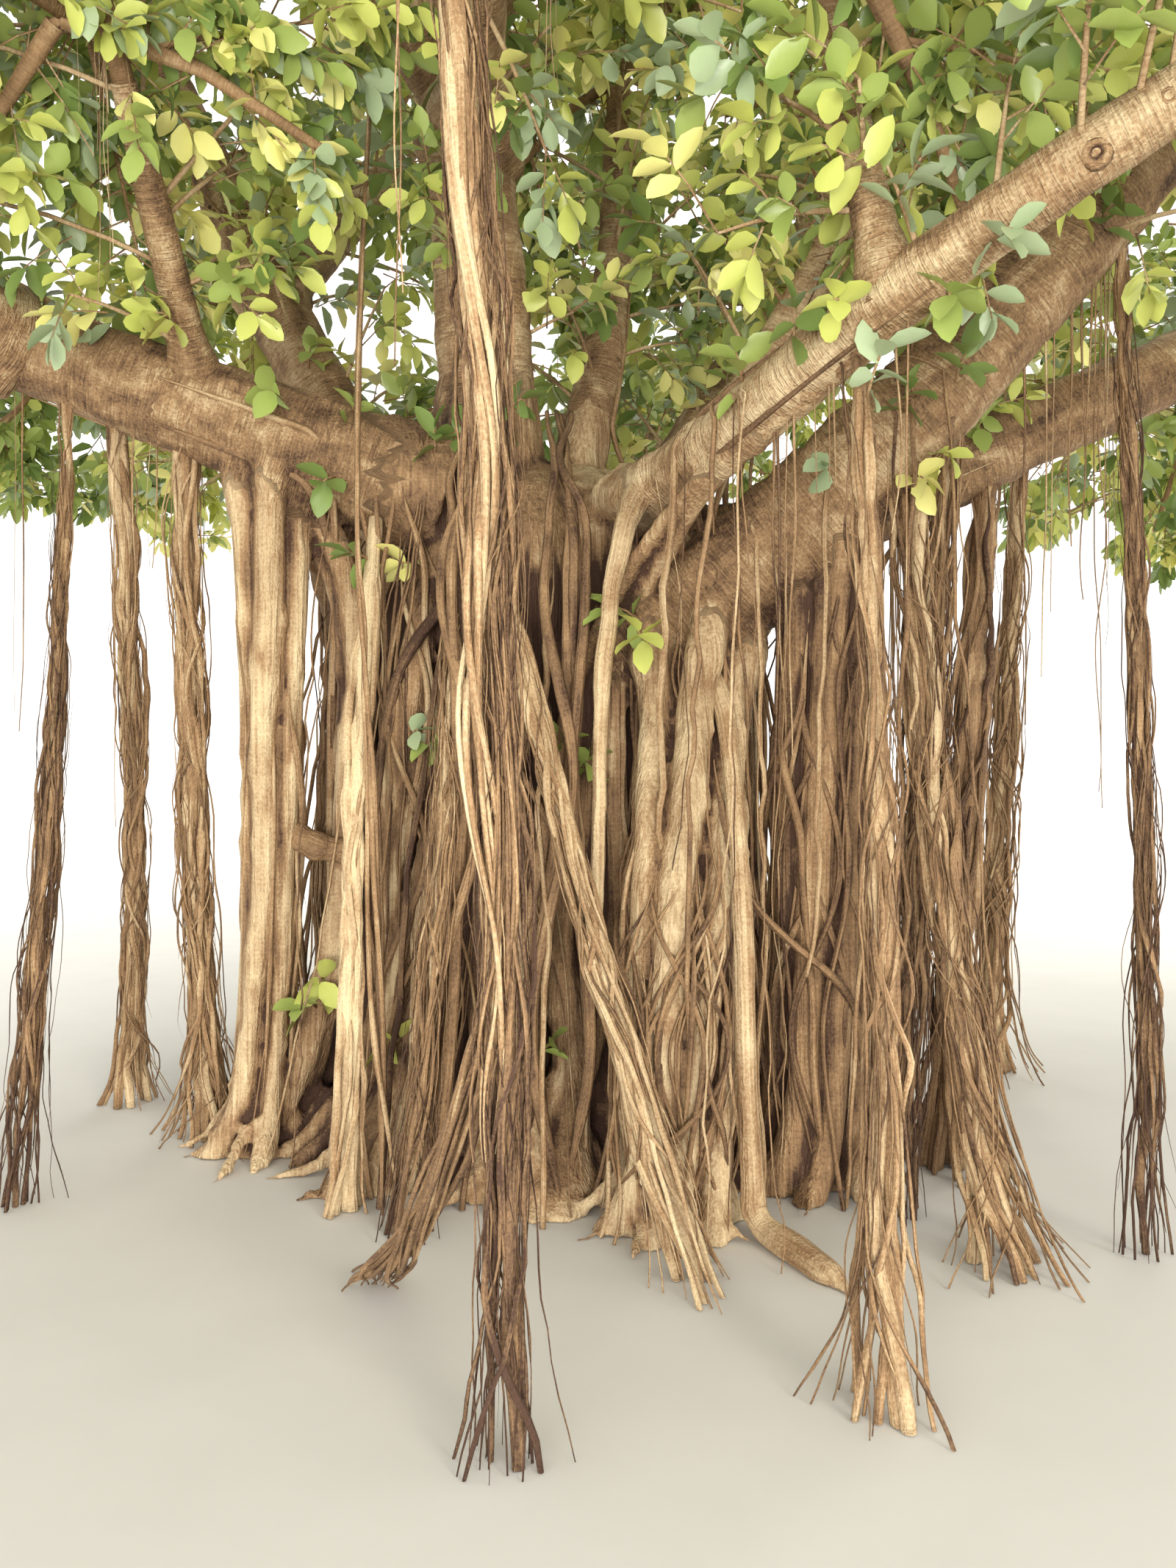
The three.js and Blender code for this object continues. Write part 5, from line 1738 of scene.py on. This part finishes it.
SHOOT_GAP = 0.12  # metres between the side stems of a bough
BARE_SHARE = 0.2  # share of a bough, from its start, that bears none
BARE_SHARES = {"left": 0.42, "right_main": 0.5, "right_front": 0.45, "leader": 0.14,
               "right_back": 0.3, "upright": 0.35}
LOWEST_SHOOT = 3.05
SHORTEST_STEM = 0.3
LONGEST_STEM = 0.85
LONG_STEMS = {"front": 1.5, "front_left": 1.4, "left_high": 1.3}  # towards a gap in the crown
STEM_SHARES = (0.4, 0.55, 0.7, 0.85, 1)  # where shoots stand on a side stem
SIDE_SHOOTS = (0.12, 0.3)


def side_shoots(bough, random):
    """Stems that stand off a bough, and the shoots off them: roots and ends of both."""
    bare = BARE_SHARES.get(bough["name"], BARE_SHARE)
    count = int(bough_length(bough) * (1 - bare) / SHOOT_GAP)
    shares = bare + (1 - bare) * (np.arange(count) + random.uniform(0, 1, count)) / count
    seats = bough_points(bough, shares)
    axis = unit(bough_points(bough, shares + AHEAD) - seats)
    out = random.normal(0, 1, (count, 3))
    out[:, 2] += 0.35
    out = unit(out - axis * dot(out, axis))
    heading = unit(out + axis * random.uniform(0.1, 0.8, (count, 1)))
    longest = LONG_STEMS.get(bough["name"], LONGEST_STEM)
    ends = seats + heading * random.uniform(SHORTEST_STEM, longest, (count, 1))
    keep = clear_of_limbs(ends, SPRAY_PAD) & (ends[:, 2] > LOWEST_SHOOT)
    seats, ends, heading = seats[keep], ends[keep], heading[keep]
    roots = []
    tips = []
    for share in STEM_SHARES:
        root = seats + (ends - seats) * share
        way = unit(heading + random.normal(0, 0.75, heading.shape))
        roots.append(root)
        tips.append(root + way * random.uniform(*SIDE_SHOOTS, (len(root), 1)))
    roots = np.concatenate(roots)
    tips = np.concatenate(tips)
    keep = clear_of_limbs(tips, SPRAY_PAD) & (tips[:, 2] > LOWEST_SHOOT)
    return seats, ends, roots[keep], tips[keep]


def dress_boughs(twigs_shape, near, far, random):
    """Side shoots with their leaves on every bough."""
    for bough in boughs.values():
        seats, ends, roots, tips = side_shoots(bough, random)
        add_stems(twigs_shape, seats, ends, 0.06, SIDE_STEM_RADII, 5, 0.65)
        add_stems(twigs_shape, roots, tips, 0.05, SIDE_SHOOT_RADII, 3, 0.55)
        counts = random.integers(*SIDE_LEAVES, len(tips))
        deal_leaves(leaves_of(tips, unit(tips - roots), counts, random, SIDE_LEAF), near, far)


# Where leafy shoots stand out from the roots and boughs, in pixels of the photograph
SHOOT_PIXELS = (
    (455, 650), (592, 615), (500, 760), (572, 770), (585, 1000), (560, 1000), (765, 1010),
    (790, 1050), (730, 1440), (430, 1370), (545, 1415), (865, 840), (880, 880), (1040, 1000),
    (1240, 650), (1340, 580), (700, 1440), (440, 1330), (620, 600), (1420, 1050),
    (60, 420), (150, 410), (240, 440), (330, 470), (420, 500), (120, 470), (480, 560),
    (380, 540), (1010, 520), (1080, 470), (1150, 430), (1230, 560), (1270, 620), (1330, 600),
    (1380, 540), (1300, 520), (1420, 470), (960, 560), (1180, 540), (1240, 480), (640, 620),
    (560, 560), (690, 560), (1060, 600), (1130, 650), (1290, 400), (1350, 330), (1500, 300),
)


def shoots_in_view(surface, twigs_shape, leaves_shape, random):
    """Leafy shoots on the roots and boughs, where the photograph shows them."""
    for across, down in SHOOT_PIXELS:
        seat, normal = surface.ray_cast(Vector(EYE), view_ray(across, down))[:2]
        if seat is None:
            continue
        seat = np.array(seat)
        out = np.array(normal) * 0.7 + np.array((0, -0.5, 0.25)) + random.normal(0, 0.3, 3)
        tip = seat + unit(out) * random.uniform(0.06, 0.16)
        add_stems(twigs_shape, seat[None], tip[None], 0.1, VIEW_SHOOT_RADII, 6, 0.5)
        counts = np.array([random.integers(*VIEW_LEAVES)])
        leaves = leaves_of(tip[None], unit(tip - seat)[None], counts, random)
        leaves["length"] = leaves["length"] * SIDE_LEAF
        add_leaves(leaves_shape, leaves, NEAR_LEAF)


def sprays_on(roots, ends, random):
    """Seats and headings of the sprays of leaves: one at each shoot's end, one half way."""
    heading = unit(ends - roots)
    heading[:, 2] -= 0.12
    tips = np.concatenate([ends, (roots + ends * 1.3) / 2.3])
    counts = np.concatenate([random.integers(*SPRAY_LEAVES, len(ends)),
                             random.integers(*LOWER_LEAVES, len(ends))])
    return tips, unit(np.concatenate([heading, heading])), counts


def leaf_width(share):
    """Half the width of a leaf at a share of its length: blunt, and widest past the middle."""
    return np.sin(math.pi * share**1.08) ** 0.72 / 2


def leaf_template(shares):
    """Points (across, along, fold) of a leaf of unit length, and its faces."""
    points = [(0, 0, 0)]
    for share in shares:
        wide = leaf_width(share)
        points += [(-wide, share, wide), (0, share, 0), (wide, share, wide)]
    points.append((0, 1, 0))
    tip = len(points) - 1
    faces3 = [(0, 2, 1), (0, 3, 2), (tip - 3, tip - 2, tip), (tip - 2, tip - 1, tip)]
    faces4 = []
    for i in range(len(shares) - 1):
        a = 1 + 3 * i
        faces4 += [(a, a + 1, a + 4, a + 3), (a + 1, a + 2, a + 5, a + 4)]
    return np.array(points, float), [np.array(faces3), np.array(faces4)]


def plain_leaf_template(shares):
    """A leaf of two flat faces that meet at its midrib."""
    points = [(0, 0, 0), (0, 1, 0)]
    faces = [[0], [0]]
    for hand in (0, 1):
        for share in shares:
            wide = leaf_width(share)
            faces[hand].append(len(points))
            points.append(((wide, -wide)[hand], share, wide))
        faces[hand].append(1)
    return np.array(points, float), [np.array([faces[0]]), np.array([faces[1][::-1]])]


NEAR_LEAF = leaf_template((0.12, 0.38, 0.66, 0.9))
FAR_LEAF = plain_leaf_template((0.16, 0.5, 0.86))


def add_leaves(shape, leaves, template):
    """Adds the leaves, each folded along its midrib and bent down at its tip."""
    pattern, groups = template
    across = unit(np.cross(leaves["heading"], leaves["up"]))
    normals = np.cross(across, leaves["heading"])
    count = len(across)
    size = leaves["length"][:, None]
    aside, along, fold = (np.repeat(column[None], count, axis=0) for column in pattern.T)
    x = aside * LEAF_WIDTH * size
    y = along * size
    z = (fold * LEAF_WIDTH * LEAF_FOLD - leaves["curl"][:, None] * along**2) * size
    points = (leaves["seat"][:, None] + across[:, None] * x[..., None]
              + leaves["heading"][:, None] * y[..., None] + normals[:, None] * z[..., None])
    offsets = np.arange(count)[:, None, None] * len(pattern)
    faces = [(group[None] + offsets).reshape(-1, group.shape[1]) for group in groups]
    tints = [np.repeat(leaves["tint"], len(group)) for group in groups]
    shape.add(points.reshape(-1, 3), faces, finishes=tints)


def leaves_of(tips, headings, counts, random, size=1):
    """Seat, heading, up, length, tint and curl of every leaf of the sprays."""
    spray = np.repeat(np.arange(len(tips)), counts)
    order = np.concatenate([np.arange(count) for count in counts])
    total = len(spray)
    backward = counts[spray] - 1 - order
    axis = headings[spray]
    side = unit(np.cross(axis, np.array(SPRAY_SIDE)))
    over = np.cross(axis, side)
    turn = order * GOLDEN_ANGLE + random.uniform(0, 6.28, len(tips))[spray]
    radial = side * np.cos(turn)[:, None] + over * np.sin(turn)[:, None]
    lean = np.clip(0.5 + 0.16 * backward + random.normal(0, 0.15, total), 0.2, 1.5)
    heading = axis * np.cos(lean)[:, None] + radial * np.sin(lean)[:, None]
    heading[:, 2] -= random.uniform(0.05, 0.5, total)
    return dict(
        seat=tips[spray] - axis * (backward * SPRAY_GAP)[:, None],
        heading=unit(heading),
        up=np.array((0, 0, 1)) + random.normal(0, 0.45, (total, 3)),
        length=LEAF_LENGTH * size * random.uniform(*LENGTH_VARIES, total),
        tint=random.choice(len(LEAF_SHARES), len(tips), p=LEAF_SHARES)[spray],
        curl=random.uniform(*LEAF_CURL, total),
    )


CLOSE = 7  # metres from the eye
VIEW_HALF = (0.56, 0.72)  # half the view's width, and its height over the eye, at one metre


def seen_close(points):
    """True for what lies close before the eye in the photograph's view."""
    off = points - np.array(EYE)
    depth = np.maximum(off[:, 1], 1e-3)
    across = np.abs(off[:, 0]) / depth < VIEW_HALF[0]
    upward = off[:, 2] / depth < VIEW_HALF[1]
    return (off[:, 1] > 0) & (off[:, 1] < CLOSE) & across & upward


def deal_leaves(leaves, near, far):
    """Adds leaves to the finer or the plainer of two shapes."""
    close = seen_close(leaves["seat"])
    for shape, part, template in ((near, close, NEAR_LEAF), (far, ~close, FAR_LEAF)):
        if part.any():
            add_leaves(shape, {key: values[part] for key, values in leaves.items()}, template)


def dress_mass(mass, index, near, far, twigs_shape):
    """Grows one mass down to its leaves."""
    random = np.random.default_rng(MASS_SEED + index)
    stem, twigs, blades = grow(mass, index)
    name = mass["bough"]["name"]
    thick = bough_radii(mass["bough"], 1.0) * STEM_WIDTH
    add_tubes(twigs_shape, stem[None], np.array([[thick, thick, thick * STEM_TAPER]]), 12, 0.42)
    add_tubes(twigs_shape, np.array(twigs), np.repeat([TWIG_RADII], len(twigs), 0), 7, 0.45)
    roots = np.array([blade["root"] for blade in blades])
    ends = np.array([blade["root"] + blade["way"] for blade in blades])
    add_stems(twigs_shape, roots, ends, 0.03, BRANCHLET_RADII, 5, 0.5)
    roots, ends = shoots_on(twigs, blades, mass, random)
    add_stems(twigs_shape, roots, ends, 0.05, SHOOT_RADII, 3, 0.55)
    sprays = sprays_on(roots, ends, random)
    kept = random.random(len(sprays[0])) < OPEN_MASSES.get(name, 1)
    tips, headings, counts = (values[kept] for values in sprays)
    size = LEAF_SIZES.get(name, 1)
    deal_leaves(leaves_of(tips, headings, counts, random, size), near, far)


# Building

BARK_SEED = 91
SIDE_SEED = 92
MASS_SEED = 500

random = np.random.default_rng(BARK_SEED)
trunk = trunk_skin(random)
trunk.piece("trunk_skin", [root_bark, bark], "bark", ["trunk"])
bough_shapes = []
for bough in boughs.values():
    shape = bough_skin(bough)
    bough_shapes.append(shape)
    add_knots(shape, bough, random)
    if bough["name"] == "right_front":
        seat, normal = surface_of([shape]).ray_cast(Vector(EYE), view_ray(*KNOT_PIXEL))[:2]
        knot(shape, np.array(seat), np.array(normal), LARGEST_KNOT)
    shape.piece("skin_" + bough["name"], [bark], "bark", ["bough_" + bough["name"]])
root_shapes = []
for root in ROOTS:
    root_shapes.append(dress_root(root, random))
    root_shapes[-1].piece("strands_" + root["name"], [root_bark], "root", [root["name"]])

# Thin roots, in two pieces. Tones vary from TONE_DROP under their mean to 1.
TONE_DROP = 0.22
TONE_VARIES = 0.2
slim = Shape()
draped = Shape()
for root in SLIM_ROOTS:
    lines, radii = slim_strands(root, random)
    tones = dealt(random, root["tone"], SLIM_TONES, len(lines))
    sides = LONE_SIDES if len(lines) == 1 else SLIM_SIDES
    add_tubes(slim, lines, radii, sides, tones, strand_relief)
lines, radii = strings(random)
add_tubes(slim, lines, radii, 4, dealt(random, STRING_TONE, STRING_TONES, len(lines), 0.1))
for shape, tone, (lines, radii) in ((slim, 0.35, crawling_strands(surface_of([trunk]), random)),
                                    (draped, 0.37, free_strands(random)),
                                    (draped, 0.5, climbing_strands(random)),
                                    (draped, 0.36, draped_strands(random))):
    tones = dealt(random, tone, TONE_VARIES, len(lines), tone - TONE_DROP)
    add_tubes(shape, lines, radii, 6, tones, strand_relief)
slim.piece("trunk_roots", [root_bark], "root")
draped.piece("draped_roots", [root_bark], "root")

MASS_GROUPS = {
    "left": ("left", "left_back", "front_left", "left_high", "left_inner"),
    "right": ("right_main", "right_back", "right_low", "right_front", "upright"),
    "front": ("front", "front_high", "front_inner", "top_right", "leader"),
    "back": ("back", "back_left", "back_right", "inner_back", "back_high"),
}
names = list(boughs)
for group, members in MASS_GROUPS.items():
    near, far, twigs_shape = (Shape() for _ in range(3))
    for member in members:
        index = names.index(member)
        dress_mass(masses[index], index, near, far, twigs_shape)
    nodes = ["foliage_" + member for member in members]
    far.piece("leaves_" + group, leaf_materials, "foliage", nodes)
    near.piece("leaves_near_" + group, leaf_materials, "foliage", nodes)
    twigs_shape.piece("twigs_" + group, [twig_bark], "bark", nodes)

near, far, twigs_shape = (Shape() for _ in range(3))
random = np.random.default_rng(SIDE_SEED)
standing = [shape for root, shape in zip(ROOTS, root_shapes) if root["kind"] != "hanging"]
dress_boughs(twigs_shape, near, far, random)
shoots_in_view(surface_of([trunk] + standing + bough_shapes), twigs_shape, near, random)
far.piece("leaves_side_shoots", leaf_materials, "foliage")
near.piece("leaves_near_shoots", leaf_materials, "foliage")
twigs_shape.piece("twigs_side_shoots", [twig_bark], "bark")


# Floor, light and camera

FLOOR_REACH = 60
FLOOR_DROP = 0.004
FLOOR_COLOURS = ((0.64, 0.625, 0.6, 1), (0.7, 0.685, 0.66, 1))
SKY_COLOUR = (1.0, 0.99, 0.97, 1)
SKY_STRENGTH = 1.35


def add_floor():
    mesh = bpy.data.meshes.new("floor")
    corners = [(across * FLOOR_REACH, along * FLOOR_REACH, -FLOOR_DROP)
               for across, along in ((-1, -1), (1, -1), (1, 1), (-1, 1))]
    mesh.from_pydata(corners, [], [(0, 1, 2, 3)])
    material, tree = new_material("floor")
    place = node(tree, "ShaderNodeTexCoord").outputs["Object"]
    pattern = node(tree, "ShaderNodeTexNoise", {"Vector": place, "Scale": 3.0, "Detail": 4.0})
    ramp = node(tree, "ShaderNodeValToRGB", {"Fac": pattern.outputs[0]})
    for stop, colour in zip(ramp.color_ramp.elements, FLOOR_COLOURS):
        stop.color = colour
    finish_material(tree, ramp.outputs[0], 0.9)
    mesh.materials.append(material)
    floor = placed("floor", mesh)


def add_light(name, kind, way, energy, colour, place=(0, 0, 0), **settings):
    """A light that shines a certain way."""
    data = bpy.data.lights.new(name, kind)
    data.energy = energy
    data.color = colour
    for key, value in settings.items():
        setattr(data, key, value)
    light = placed(name, data)
    light.location = place
    light.rotation_euler = Vector(way).to_track_quat("-Z", "Y").to_euler()


def add_world():
    world = bpy.data.worlds.new("studio")
    world.use_nodes = True
    background = world.node_tree.nodes["Background"]
    background.inputs["Color"].default_value = SKY_COLOUR
    background.inputs["Strength"].default_value = SKY_STRENGTH
    bpy.context.scene.world = world


def add_camera():
    data = bpy.data.cameras.new("camera")
    data.lens = LENS
    data.sensor_width = SENSOR
    data.shift_y = (PHOTO["centre"][1] - PHOTO["height"] / 2) / PHOTO["height"]
    data.clip_end = 200
    camera = placed("camera", data)
    camera.location = EYE
    camera.rotation_euler = (math.pi / 2, 0, 0)
    bpy.context.scene.camera = camera


add_floor()
add_light("key", "SUN", (-0.5, 0.8, -0.36), 1.5, (1, 0.94, 0.82), angle=0.35)
add_light("fill", "SUN", (0.25, 1, -0.06), 1.05, (1, 0.97, 0.9), angle=1.0)
add_light("rim", "SUN", (-0.3, -0.6, -0.75), 1.9, (1, 0.97, 0.9), angle=0.5)
PANEL = Vector((-0.6, -9.5, 0.9))
LIT_POINT = Vector((-0.1, 0, 4.9))
add_light("front", "AREA", LIT_POINT - PANEL, 620, (1, 0.98, 0.93), PANEL,
          shape="RECTANGLE", size=6, size_y=1.6)
add_world()
add_camera()
bpy.context.scene.view_settings.view_transform = "Standard"
